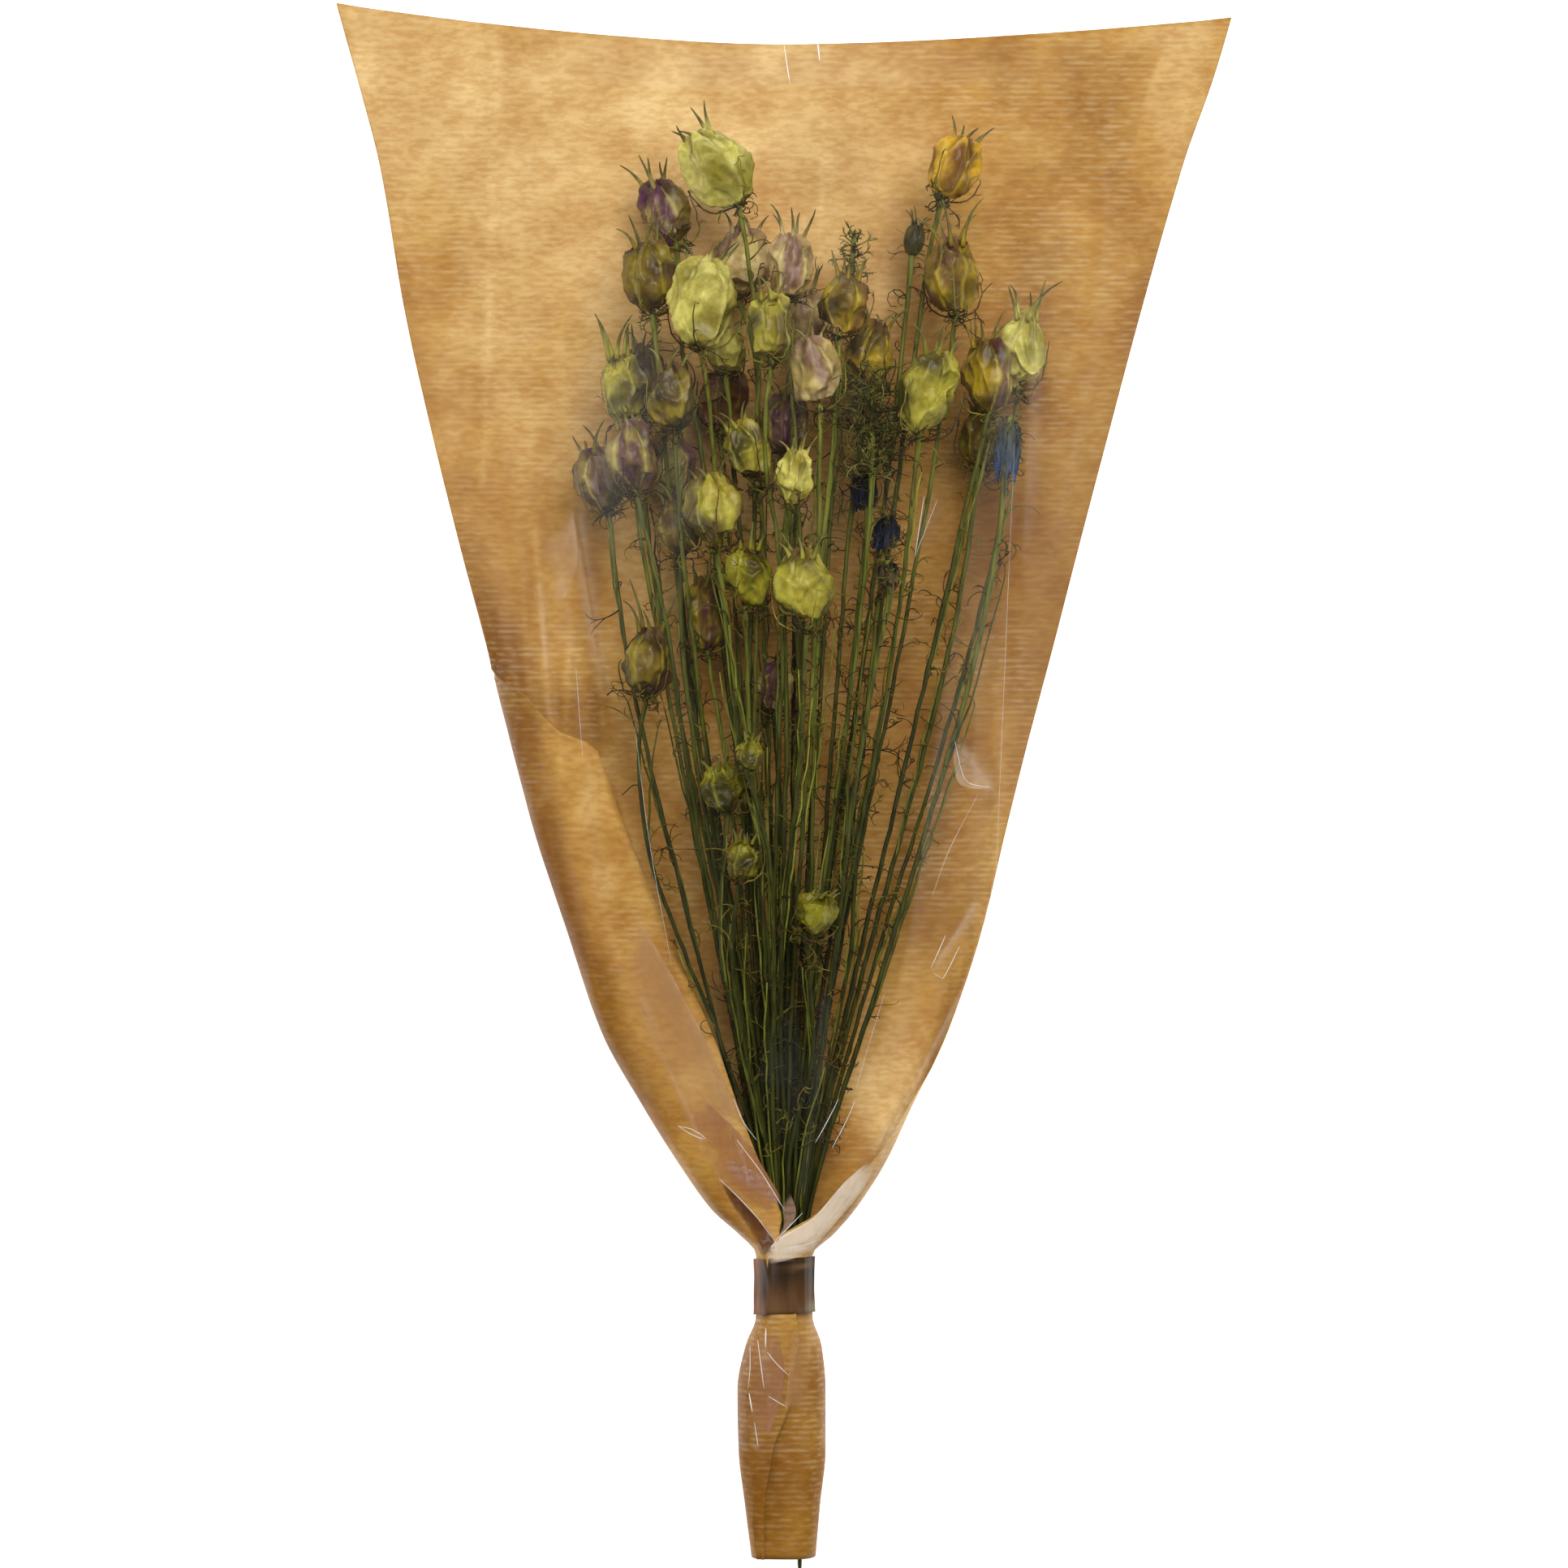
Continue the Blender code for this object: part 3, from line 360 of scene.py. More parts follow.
def film_crown(x, y):
    """Height at which the heads hold the film up: a low arch over the bunch, straight down past it."""
    row = row_at(y)
    edge = row.left_edge if x < 0 else row.right_edge
    reach = SUPPORT_SHARE * edge
    if abs(x) <= reach:
        return row.lift + row.crown * (1 - SUPPORT_FALL * (x / reach) ** 2)
    share = min((abs(x) - reach) / (edge - reach), 1.0)
    return row.lift + row.crown * (1 - SUPPORT_FALL) * (1 - share)


def fan_opening(y):
    """How far the fan of stems has opened at a height: 0 in the neck, 1 at the top of the bunch."""
    rise = max(y - NECK_Y, 0.0)
    span = FAN_TOP_Y - NECK_Y - FAN_EASE / 2
    if rise < FAN_EASE:
        return rise * rise / (2 * FAN_EASE) / span
    return (rise - FAN_EASE / 2) / span


def neck_slots(count):
    """Places of the stems in the neck, packed like coins, the nearest to the middle first."""
    slots = []
    row_step = SLOT_PITCH * math.sqrt(3) / 2
    for row in range(-8, 9):
        for column in range(-10, 11):
            x = (column + 0.5 * (row % 2)) * SLOT_PITCH
            z = row * row_step
            reach = (x / BUNDLE_HALF_WIDTH) ** 2 + (z / BUNDLE_HALF_HEIGHT) ** 2
            slots.append((round(reach, 6), x, z))
    slots.sort()
    return np.array([(x, BUNDLE_Z + z) for reach, x, z in slots[:count]])


def seen_shrink(head):
    """How much nearer to the middle a head is than it seems from the camera, for its height."""
    return (CAMERA_HEIGHT - head.z) / CAMERA_HEIGHT


def seen_place(head):
    """Middle of a head in x and z: its place as seen from straight above, drawn in for its height."""
    return np.array([head.x * seen_shrink(head), float(head.z)])


def match_slots(slots, targets):
    """Give each target the slot that keeps the stems from crossing, by swapping while a swap helps."""
    order = sorted(range(len(slots)), key=lambda i: (slots[i][0], slots[i][1]))
    wanted = sorted(range(len(targets)), key=lambda i: (targets[i][0], targets[i][1]))
    chosen = [0] * len(targets)
    for slot, target in zip(order, wanted):
        chosen[target] = slot
    swapped = True
    while swapped:
        swapped = False
        for i in range(len(chosen)):
            for j in range(i + 1, len(chosen)):
                gap = np.dot(slots[chosen[i]] - slots[chosen[j]], targets[i] - targets[j])
                if gap < -1e-6:
                    chosen[i], chosen[j] = chosen[j], chosen[i]
                    swapped = True
    return chosen


def head_shape(head):
    """Half height along Y, sideways shift per millimetre of Y, and the base below the middle."""
    lean = math.radians(head.lean)
    a = head.length / 2
    b = head.width / 2
    sine, cosine = math.sin(lean), math.cos(lean)
    half_y = math.sqrt((a * cosine) ** 2 + (b * sine) ** 2)
    shift = (a * a - b * b) * sine * cosine / half_y ** 2
    return half_y, shift, Vector((-a * sine, -a * cosine))


class Strand:
    """One stem and its head, as a chain of places at heights along Y."""

    def __init__(self, head, slot, levels, draw):
        self.head = head
        self.half_y, self.shift, base = head_shape(head)
        middle = seen_place(head)
        self.base_y = head.y * seen_shrink(head) + base.y
        self.middle_y = self.base_y - base.y
        self.base_shift = base.x
        stations = list(np.arange(NECK_Y, self.base_y - 0.4 * STATION_STEP, STATION_STEP))
        self.ys = np.array(stations + [self.base_y])
        foot = np.array([middle[0] + base.x, middle[1]])
        spread = (foot - slot) / fan_opening(self.base_y)
        bow = STEM_BOWS.get(head.name, 0)
        wave = draw.uniform(-2.2, 2.2)
        dip = draw.uniform(-1.2, 1.2)
        self.points = np.zeros((len(self.ys), 2))
        for k, y in enumerate(self.ys):
            along = (y - NECK_Y) / (self.base_y - NECK_Y)
            swing = math.sin(math.pi * along ** BOW_SKEW)
            ripple = math.sin(2 * math.pi * along)
            self.points[k] = slot + spread * fan_opening(y)
            self.points[k] += np.array([bow * swing + wave * ripple, dip * ripple])
        self.points[-1] = foot
        self.home = self.points.copy()
        self.weights = np.zeros((len(levels), len(self.ys)))
        self.offset = np.zeros((len(levels), 2))
        self.radius = np.zeros(len(levels))
        self.heavy = np.zeros(len(levels), bool)
        for row, y in enumerate(levels):
            self.set_level(row, y)

    def set_level(self, row, y):
        """How the strand passes a level: which stations carry it, how far aside, how thick, how heavy."""
        head = self.head
        top_y = self.middle_y + self.half_y + 0.8 * head.horn
        if y > top_y:
            return
        if y <= self.base_y:
            upper = max(int(np.searchsorted(self.ys, y)), 1)
            share = (y - self.ys[upper - 1]) / (self.ys[upper] - self.ys[upper - 1])
            self.weights[row, upper - 1] = 1 - share
            self.weights[row, upper] = share
        else:
            self.weights[row, -1] = 1.0
            self.offset[row, 0] = (y - self.middle_y) * self.shift - self.base_shift
        thin = min(max((y - NECK_Y) / NECK_BLEND, 0), 1)
        stem = NECK_STEM_RADIUS + (STEM_RADIUS - NECK_STEM_RADIUS) * thin
        stem += STEM_CLEARANCE * (0.6 + 0.4 * thin)
        self.radius[row] = stem
        away = (y - self.middle_y) / (self.half_y + POD_MARGIN)
        if abs(away) < 1:
            belly = (head.width / 2 + POD_MARGIN) * math.sqrt(1 - away * away)
            self.radius[row] = max(stem, belly)
            self.heavy[row] = True
        if y > self.middle_y + 0.7 * self.half_y:
            self.radius[row] = max(self.radius[row], 0.24 * head.width + 1.0)
            self.heavy[row] = True


def settle(strands, levels):
    """Push the strands apart until none is closer to another than their radii, and under the film."""
    count = len(strands)
    present = np.array([s.radius > 0 for s in strands])
    radius = np.array([s.radius for s in strands])
    heavy = np.array([s.heavy for s in strands])
    share = np.where(heavy, HEAD_GIVES_WAY, 1.0)
    part = share[:, None, :] / (share[:, None, :] + share[None, :, :])
    need = radius[:, None, :] + radius[None, :, :]
    both = present[:, None, :] & present[None, :, :]
    both[np.arange(count), np.arange(count), :] = False
    grid = np.arange(-SETTLE_REACH, SETTLE_REACH + 1, LEVEL_STEP)
    ceiling = np.array([[film_crown(x, y) for x in grid] for y in levels]) - FILM_CLEARANCE
    floor = PAPER_THICKNESS + 0.4
    for step in range(SETTLE_ROUNDS):
        place = np.array([s.weights @ s.points + s.offset for s in strands])
        away = place[:, None] - place[None, :]
        gap = np.sqrt((away ** 2).sum(-1)) + 1e-9
        overlap = np.where(both, np.maximum(need - gap, 0), 0)
        push = (away * (overlap * part / gap)[..., None]).sum(1)
        low = np.maximum(floor + radius - place[..., 1], 0) * present
        column = np.clip(((place[..., 0] + SETTLE_REACH) / LEVEL_STEP).astype(int), 0, len(grid) - 1)
        roof = ceiling[np.arange(len(levels))[None, :], column]
        high = np.maximum(place[..., 1] + radius - roof, 0) * present
        push[..., 1] += low - high
        ease = max(1 - step / (0.75 * SETTLE_ROUNDS), 0)
        for i, strand in enumerate(strands):
            active = (np.abs(push[i]).sum(-1) > 1e-4).astype(float)
            total = strand.weights.T @ push[i]
            weight = np.maximum((strand.weights.T @ active), 0.6)
            move = 0.9 * total / weight[:, None]
            inner = strand.points[:-2] + strand.points[2:] - 2 * strand.points[1:-1]
            kept = strand.home[:-2] + strand.home[2:] - 2 * strand.home[1:-1]
            move[1:-1] += STIFFNESS * ease * (inner - kept)
            back = strand.home[-1] - strand.points[-1]
            move[-1] += ease * back * np.array([STIFFNESS, 0.01])
            move[0] = 0
            strand.points += move


def lay_out():
    """Every stem's route from the neck to its head, with no two of them crossing."""
    draw = random.Random(SEED)
    slots = neck_slots(len(HEADS))
    targets = []
    for head in HEADS:
        half_y, shift, base = head_shape(head)
        middle = seen_place(head) + np.array([base.x, 0])
        targets.append((middle - np.array([0, BUNDLE_Z])) / fan_opening(head.y + base.y))
    chosen = match_slots(slots, targets)
    levels = np.arange(NECK_Y, 246.0, LEVEL_STEP)
    strands = [Strand(head, slots[chosen[i]], levels, draw) for i, head in enumerate(HEADS)]
    settle(strands, levels)
    return strands


def head_frame(strand):
    """Matrix in millimetres from a head's own axes, z along its length, to the bunch."""
    head = strand.head
    lean = math.radians(head.lean)
    axis = Vector((math.sin(lean), math.cos(lean), 0))
    side = Vector((math.cos(lean), -math.sin(lean), 0))
    front = axis.cross(side)
    foot_x, foot_z = strand.points[-1]
    middle = Vector((foot_x - strand.base_shift, strand.middle_y, foot_z))
    axes = Matrix((side, front, axis)).transposed().to_4x4()
    return Matrix.Translation(middle) @ axes


def linear(colour):
    """A screen colour, 0 to 255, as the renderer's own red, green and blue."""
    shares = [c / 255 for c in colour]
    return np.array([c / 12.92 if c < 0.04 else ((c + 0.055) / 1.055) ** 2.4 for c in shares])


def smooth_step(low, high, value):
    share = np.clip((value - low) / (high - low), 0, 1)
    return share * share * (3 - 2 * share)


def noise_at(places, scale, seed=0.0):
    """Smooth noise from -1 to 1 at each place, with one number or three for its scale."""
    scaled = np.asarray(places, float) * np.asarray(scale, float)
    flat = scaled.reshape(-1, 3)
    values = [noise.noise(Vector((x + seed, y - seed, z + 2 * seed))) for x, y, z in flat]
    return np.array(values).reshape(scaled.shape[:-1])


def noise_over(x, y, scale_x, scale_y, seed):
    """Smooth noise from -1 to 1 over places in x and y."""
    return noise_at(np.stack([x, y, 0 * x], -1), (scale_x, scale_y, 1), seed)


def blend(first, second, share):
    """Colours from the first to the second, by one share or by a share for each place."""
    return first + (second - first) * np.asarray(share)[..., None]


def round_axis(reach, angle, z):
    """The point beside the z axis at a reach, an angle and a height."""
    return Vector((reach * math.cos(angle), reach * math.sin(angle), z))


def keep_inside(point):
    """Lift a point off the table, or draw it in under the film."""
    roof = film_crown(point.x, point.y) - FILM_CLEARANCE
    point.z = min(max(point.z, TABLE_CLEARANCE), max(roof, 2 * TABLE_CLEARANCE))


def smooth_chain(points, step):
    """Points close together on a smooth curve through the given ones."""
    points = [Vector(p) for p in points]
    ends = [2 * points[0] - points[1]] + points + [2 * points[-1] - points[-2]]
    result = []
    for a, b, c, d in zip(ends, ends[1:], ends[2:], ends[3:]):
        count = max(int((c - b).length / step), 1)
        for k in range(count):
            t = k / count
            bend = 2 * b + (c - a) * t + (2 * a - 5 * b + 4 * c - d) * t * t
            result.append(0.5 * (bend + (3 * b - a - 3 * c + d) * t ** 3))
    result.append(points[-1])
    return result


def random_direction(draw):
    while True:
        direction = Vector([draw.uniform(-1, 1) for axis in range(3)])
        if 0.1 < direction.length < 1:
            return direction.normalized()


def grid_faces(rows, columns, wrap=False, flip=False):
    """Faces of a sheet of rows of places, numbered row by row. wrap joins each row's ends."""
    faces = []
    for row in range(rows - 1):
        for column in range(columns if wrap else columns - 1):
            across = (column + 1) % columns
            low, high = row * columns, (row + 1) * columns
            face = (low + column, low + across, high + across, high + column)
            faces.append(face[::-1] if flip else face)
    return faces


def tint_rows(tints, rows, columns):
    """The tints of a sheet's places, row by row."""
    width = np.shape(tints)[-1]
    return np.broadcast_to(tints, (rows, columns, width)).reshape(-1, width)


class Shape:
    """Collects the surfaces of one piece: places in millimetres, faces, tints and finish numbers."""

    def __init__(self):
        self.places = []
        self.faces = []
        self.tints = []
        self.finishes = []
        self.count = 0

    def add(self, places, tints, faces, finish):
        """Places are rows of three, tints rows of three or four, and faces hold numbers of places."""
        rows = np.ones((len(places), 4))
        rows[:, :tints.shape[-1]] = tints
        self.places.append(places)
        self.tints.append(rows)
        self.faces += [tuple(corner + self.count for corner in face) for face in faces]
        self.finishes += [finish] * len(faces)
        self.count += len(places)

    def add_ring_grid(self, places, tints, finish):
        """A closed skin of rings of places, with a fan at each end."""
        rows, columns = places.shape[:2]
        faces = grid_faces(rows, columns, wrap=True)
        tints = tint_rows(tints, rows, columns)
        start, end = rows * columns, rows * columns + 1
        top = (rows - 1) * columns
        for column in range(columns):
            across = (column + 1) % columns
            faces.append((start, across, column))
            faces.append((end, top + column, top + across))
        flat = np.vstack([places.reshape(-1, 3), places[0].mean(0), places[-1].mean(0)])
        self.add(flat, np.vstack([tints, tints[0], tints[-1]]), faces, finish)

    def add_tube(self, points, radii, tints, finish, sides=6, flat=1.0, twist=0.0):
        """A closed tube along points. flat squeezes it across, and twist turns it as it goes, in radians."""
        points = [Vector(p) for p in points]
        count = len(points)
        radii = np.broadcast_to(radii, count)
        side = Vector((0.31, 0.17, 0.94))
        rings = np.zeros((count, sides, 3))
        angles = 2 * math.pi * np.arange(sides) / sides
        wide, thin = np.cos(angles), flat * np.sin(angles)
        for k, point in enumerate(points):
            ahead = (points[min(k + 1, count - 1)] - points[max(k - 1, 0)]).normalized()
            side = side - ahead * side.dot(ahead)
            side = side.normalized() if side.length > 1e-6 else ahead.orthogonal().normalized()
            across = ahead.cross(side)
            turn = twist * k / count
            x = wide * math.cos(turn) - thin * math.sin(turn)
            y = wide * math.sin(turn) + thin * math.cos(turn)
            rings[k] = np.array(point) + (np.outer(x, side) + np.outer(y, across)) * radii[k]
        tints = np.asarray(tints, float)
        self.add_ring_grid(rings, tints[:, None, :] if tints.ndim == 2 else tints, finish)

    def add_slab(self, places, tints, finish, thickness, flip=False, wrap=False):
        """A thin sheet with two faces and a rim. The second face lies behind the first, by its thickness."""
        rows, columns = places.shape[:2]
        along = np.gradient(places, axis=0)
        across = np.gradient(places, axis=1)
        if wrap:
            across = (np.roll(places, -1, axis=1) - np.roll(places, 1, axis=1)) / 2
        out = np.cross(across, along)
        out /= np.maximum(np.linalg.norm(out, axis=-1, keepdims=True), 1e-9)
        behind = places - out * (-thickness if flip else thickness)
        size = rows * columns
        faces = grid_faces(rows, columns, wrap, flip)
        faces += [tuple(corner + size for corner in face[::-1]) for face in faces]
        last = columns if wrap else columns - 1
        top = [size - columns + column for column in range(columns)]
        edges = [(column, (column + 1) % columns) for column in range(last)]
        edges += [(top[(column + 1) % columns], top[column]) for column in range(last)]
        if not wrap:
            sides = range(0, size - columns, columns)
            edges += [(first + columns, first) for first in sides]
            edges += [(first + columns - 1, first + 2 * columns - 1) for first in sides]
        for a, b in edges:
            face = (b, a, a + size, b + size)
            faces.append(face[::-1] if flip else face)
        tints = tint_rows(tints, rows, columns)
        places = np.vstack([places.reshape(-1, 3), behind.reshape(-1, 3)])
        self.add(places, np.vstack([tints, tints]), faces, finish)

    def build(self, name, materials):
        """The piece as a mesh object, in metres."""
        mesh = bpy.data.meshes.new(name)
        places = np.vstack(self.places) * METRES_PER_MM
        mesh.from_pydata(places.tolist(), [], self.faces)
        for material in materials:
            mesh.materials.append(material)
        mesh.polygons.foreach_set("material_index", self.finishes)
        mesh.polygons.foreach_set("use_smooth", [True] * len(self.faces))
        tint = mesh.color_attributes.new("tint", "FLOAT_COLOR", "POINT")
        tint.data.foreach_set("color", np.vstack(self.tints).ravel())
        mesh.validate()
        mesh.update()
        piece = bpy.data.objects.new(name, mesh)
        bpy.context.scene.collection.objects.link(piece)
        return piece


# Materials

class Finish:
    """A material while it is made: its nodes, its shader, the places on its object and its piece's tint."""

    def __init__(self, name):
        self.material = bpy.data.materials.new(name)
        self.material.use_nodes = True
        self.tree = self.material.node_tree
        self.shader = self.tree.nodes["Principled BSDF"]
        self.place = self.node("ShaderNodeTexCoord").outputs["Object"]
        self.tint = self.node("ShaderNodeVertexColor", {"layer_name": "tint"}).outputs["Color"]

    def fill(self, socket, value):
        """Fill a socket by a link from another node, or by a value."""
        if isinstance(value, bpy.types.NodeSocket):
            self.tree.links.new(value, socket)
        elif socket.type == "RGBA" and len(value) == 3:
            socket.default_value = (*value, 1.0)
        else:
            socket.default_value = value

    def node(self, kind, settings=None, inputs=None):
        """A node with its settings made and its inputs filled, which are named or numbered."""
        made = self.tree.nodes.new(kind)
        for key, value in (settings or {}).items():
            setattr(made, key, value)
        for key, value in (inputs or {}).items():
            self.fill(made.inputs[key], value)
        return made

    def noise(self, scale, detail=3.0, stretch=(1.0, 1.0, 1.0)):
        """A grey noise pattern. stretch is how much it is drawn out along each axis."""
        squeeze = {"Vector": self.place, "Scale": [1 / s for s in stretch]}
        place = self.node("ShaderNodeMapping", inputs=squeeze).outputs["Vector"]
        pattern = {"Vector": place, "Scale": scale, "Detail": detail}
        return self.node("ShaderNodeTexNoise", inputs=pattern).outputs["Fac"]

    def remap(self, value, low, high, to_low=0.0, to_high=1.0):
        inputs = dict(enumerate((value, low, high, to_low, to_high)))
        return self.node("ShaderNodeMapRange", {"interpolation_type": "SMOOTHSTEP"}, inputs).outputs[0]

    def combine(self, operation, a, b):
        return self.node("ShaderNodeMath", {"operation": operation}, {0: a, 1: b}).outputs[0]

    def mix(self, share, a, b, way="MIX"):
        settings = {"data_type": "RGBA", "blend_type": way}
        return self.node("ShaderNodeMix", settings, {0: share, 6: a, 7: b}).outputs[2]

    def shade(self, colour, pattern, low, high, dark, light=(255, 255, 255)):
        """The colour times a dark or a light one, by the pattern's value."""
        cast = self.mix(self.remap(pattern, low, high), linear(dark), linear(light))
        return self.mix(1.0, colour, cast, "MULTIPLY")

    def bump(self, height, distance_mm, strength):
        inputs = {"Height": height, "Distance": distance_mm * METRES_PER_MM, "Strength": strength}
        self.fill(self.shader.inputs["Normal"], self.node("ShaderNodeBump", inputs=inputs).outputs["Normal"])

    def surface(self, inputs, see_through=False):
        """Fill the shader's inputs, and give the finished material."""
        for key, value in inputs.items():
            self.fill(self.shader.inputs[key], value)
        if see_through:
            self.material.surface_render_method = "BLENDED"
        return self.material


def kraft_material():
    """Brown kraft paper: faintly ribbed across, cloudy, with fibres, and darker and lighter places in its
    tint, painted shade among them.
    """
    kraft = Finish("kraft_paper_finish")
    cloud = kraft.noise(42.0, 8.0, (1.2, 1.0, 1.0))
    colour = kraft.shade(kraft.tint, cloud, 0.36, 0.64, (234, 218, 192), (255, 250, 236))
    fibre = kraft.noise(620.0, 6.0, (2.4, 1.0, 1.0))
    colour = kraft.shade(colour, fibre, 0.34, 0.66, (238, 226, 208))
    wave = {"bands_direction": "Y", "wave_profile": "SIN"}
    rib_inputs = {"Vector": kraft.place, "Scale": 157.0, "Distortion": 1.2, "Detail": 3.0}
    ribs = kraft.node("ShaderNodeTexWave", wave, rib_inputs).outputs["Fac"]
    dashes = kraft.remap(kraft.noise(420.0, 3.0, (2.4, 1.0, 1.0)), 0.36, 0.66)
    patchy = kraft.remap(kraft.noise(18.0, 2.0, (1.2, 1.0, 1.0)), 0.38, 0.62, 0.2, 1.0)
    shown_ribs = kraft.combine("MULTIPLY", kraft.combine("MULTIPLY", ribs, dashes), patchy)
    colour = kraft.mix(kraft.combine("MULTIPLY", shown_ribs, 0.26), colour, linear((240, 214, 160)))
    rib_height = kraft.combine("MULTIPLY", ribs, 0.3)
    kraft.bump(kraft.combine("ADD", rib_height, kraft.combine("MULTIPLY", fibre, 0.5)), 0.06, 0.5)
    roughness = kraft.remap(cloud, 0.3, 0.7, 0.62, 0.5)
    return kraft.surface({"Base Color": colour, "Roughness": roughness, "Specular IOR Level": 0.2})


def film_material():
    """Clear glossy film: a faint mirror all over, stronger and sharper along creases. Its tint's red says
    how much it shows."""
    clear = Finish("clear_film_finish")
    veil = clear.node("ShaderNodeSeparateColor", inputs={"Color": clear.tint}).outputs[0]
    rim = clear.node("ShaderNodeLayerWeight", inputs={"Blend": 0.12}).outputs["Facing"]
    cover = clear.combine("ADD", veil, clear.combine("MULTIPLY", rim, 0.08))
    roughness = clear.remap(veil, 0.0, 0.15, 0.4, 0.16)
    mirror = {"Base Color": (1, 1, 1), "Metallic": 1.0, "Alpha": cover, "Roughness": roughness}
    return clear.surface(mirror, see_through=True)


def gathered_sheen_material():
    """Film gathered double, and the fold lines: shiny, in a tint that is partly the paper seen through and
    partly painted sheen, painted shade and painted highlight.
    """
    gathered = Finish("gathered_film_finish")
    crinkle = gathered.noise(190.0, 3.0, (1.0, 3.0, 1.0))
    thinned = gathered.remap(crinkle, 0.3, 0.7, 0.75, 1.1)
    cover = gathered.combine("MULTIPLY", gathered.tint.node.outputs["Alpha"], thinned)
    gathered.bump(crinkle, 0.8, 0.5)
    inputs = {"Base Color": gathered.tint, "Alpha": cover, "Roughness": 0.22}
    return gathered.surface(inputs, see_through=True)


def tape_material():
    """Brown tape, crinkled, in the colours of its tint."""
    tape = Finish("brown_tape_finish")
    streak = tape.noise(160.0, 3.0, (1.0, 4.0, 1.0))
    colour = tape.shade(tape.tint, streak, 0.35, 0.65, (196, 184, 164))
    tape.bump(streak, 0.5, 0.5)
    gloss = {"Roughness": 0.5, "Specular IOR Level": 0.18, "Alpha": 0.94}
    return tape.surface({"Base Color": colour, **gloss}, see_through=True)


def skin_material():
    """Papery pod skin: its tint, fine net veins, freckles and a satin sheen."""
    skin = Finish("pod_skin_finish")
    cells = {"Vector": skin.place, "Scale": 560.0}
    net = skin.node("ShaderNodeTexVoronoi", {"feature": "DISTANCE_TO_EDGE"}, cells).outputs["Distance"]
    vein = skin.remap(net, 0.0, 0.08, 1.0, 0.0)
    cloud = skin.noise(120.0, 5.0)
    colour = skin.mix(skin.remap(cloud, 0.42, 0.68, 0.0, 0.09), skin.tint, linear((224, 206, 80)))
    colour = skin.shade(colour, skin.noise(420.0, 4.0), 0.35, 0.65, (228, 220, 200))
    colour = skin.mix(skin.combine("MULTIPLY", vein, 0.07), colour, linear((110, 92, 50)))
    vein_height = skin.combine("MULTIPLY", vein, 0.1)
    skin.bump(skin.combine("ADD", vein_height, skin.combine("MULTIPLY", cloud, 0.5)), 0.25, 0.35)
    return skin.surface({"Base Color": colour, "Roughness": 0.3, "Specular IOR Level": 0.26})


def stem_material():
    """Dry ribbed stem and thread-like leaves: their tint, streaked lengthwise."""
    stem = Finish("stem_finish")
    streak = stem.noise(620.0, 3.0, (1.0, 14.0, 1.0))
    colour = stem.shade(stem.tint, streak, 0.3, 0.7, (176, 168, 140))
    stem.bump(streak, 0.3, 0.5)
    return stem.surface({"Base Color": colour, "Roughness": 0.5, "Specular IOR Level": 0.22})


def petal_material():
    """Wilted petals: their tint, with darker veins lengthwise."""
    petal = Finish("petal_finish")
    crumple = petal.noise(500.0, 4.0, (1.0, 3.0, 1.0))
    colour = petal.shade(petal.tint, crumple, 0.3, 0.7, (140, 136, 150))
    petal.bump(crumple, 0.4, 0.6)
    return petal.surface({"Base Color": colour, "Roughness": 0.65, "Specular IOR Level": 0.25})


# Pods

# Numbers of a piece's two finishes: a pod's skin or a bloom's petals, and the stem.
SKIN = PETAL = 0
STEM = 1
STEM_DARK = linear((60, 64, 10))
STEM_LIGHT = linear((148, 152, 54))
THREAD_TINTS = [linear(colour) for colour in (
    (64, 60, 10), (96, 88, 22), (104, 78, 30), (142, 128, 46), (68, 48, 16), (122, 112, 30))]


def pod_surface(strand, look, draw):
    """Places and tints of a capsule's skin: five lobes that rise to the horns, with dents pressed in."""
    head = strand.head
    a, b = head.length / 2, head.width / 2
    along = np.linspace(0.015, 0.985, POD_ROWS)[:, None]
    angle = np.linspace(0, 2 * math.pi, POD_COLUMNS, endpoint=False)[None, :]
    rise = -np.cos(math.pi * along)
    girth = np.sin(math.pi * along) ** draw.uniform(0.74, 0.9)
    turn = math.radians(-90) + draw.uniform(-0.25, 0.25)
    share = (angle - turn) * LOBES / (2 * math.pi) + 0.5
    sector = share % 1.0
    lobe = np.floor(share).astype(int) % LOBES
    crest = np.sin(math.pi * sector)
    top = smooth_step(0.05, 0.95, rise)
    ribs = look.ribs * draw.uniform(0.8, 1.3)
    belly = draw.uniform(-0.08, 0.10)
    radius = girth * (1 + belly * rise) * (1 - (ribs + 0.42 * top) * (1 - crest ** 0.6))
    radius = radius * (1 + 0.02 * np.exp(-((sector - 0.5) / 0.05) ** 2))
    x = b * 1.04 * radius * np.cos(angle)
    y = b * 1.04 * radius * np.sin(angle)
    notch = np.array([draw.uniform(0.14, 0.34) for k in range(LOBES)])[lobe]
    z = a * (rise + notch * top * (crest ** 1.3 - 0.74)) + 0 * angle
    places = np.stack([x, y, z], -1)
    seed = draw.uniform(0, 50)
    places = press_dents(places, b, look, draw, seed)
    outward = places / np.maximum(np.linalg.norm(places, axis=-1, keepdims=True), 1e-6)
    for fold in SKIN_FOLDS:
        ridge = 1 - np.abs(noise_at(places / b, fold.scale, seed + fold.shift)) ** fold.power
        places = places + outward * ((ridge - fold.level) * fold.height * look.dent_depth * b)[..., None]
    tints = pod_tints(places, sector, lobe, rise, look, draw, seed, b)
    return places, tints, turn


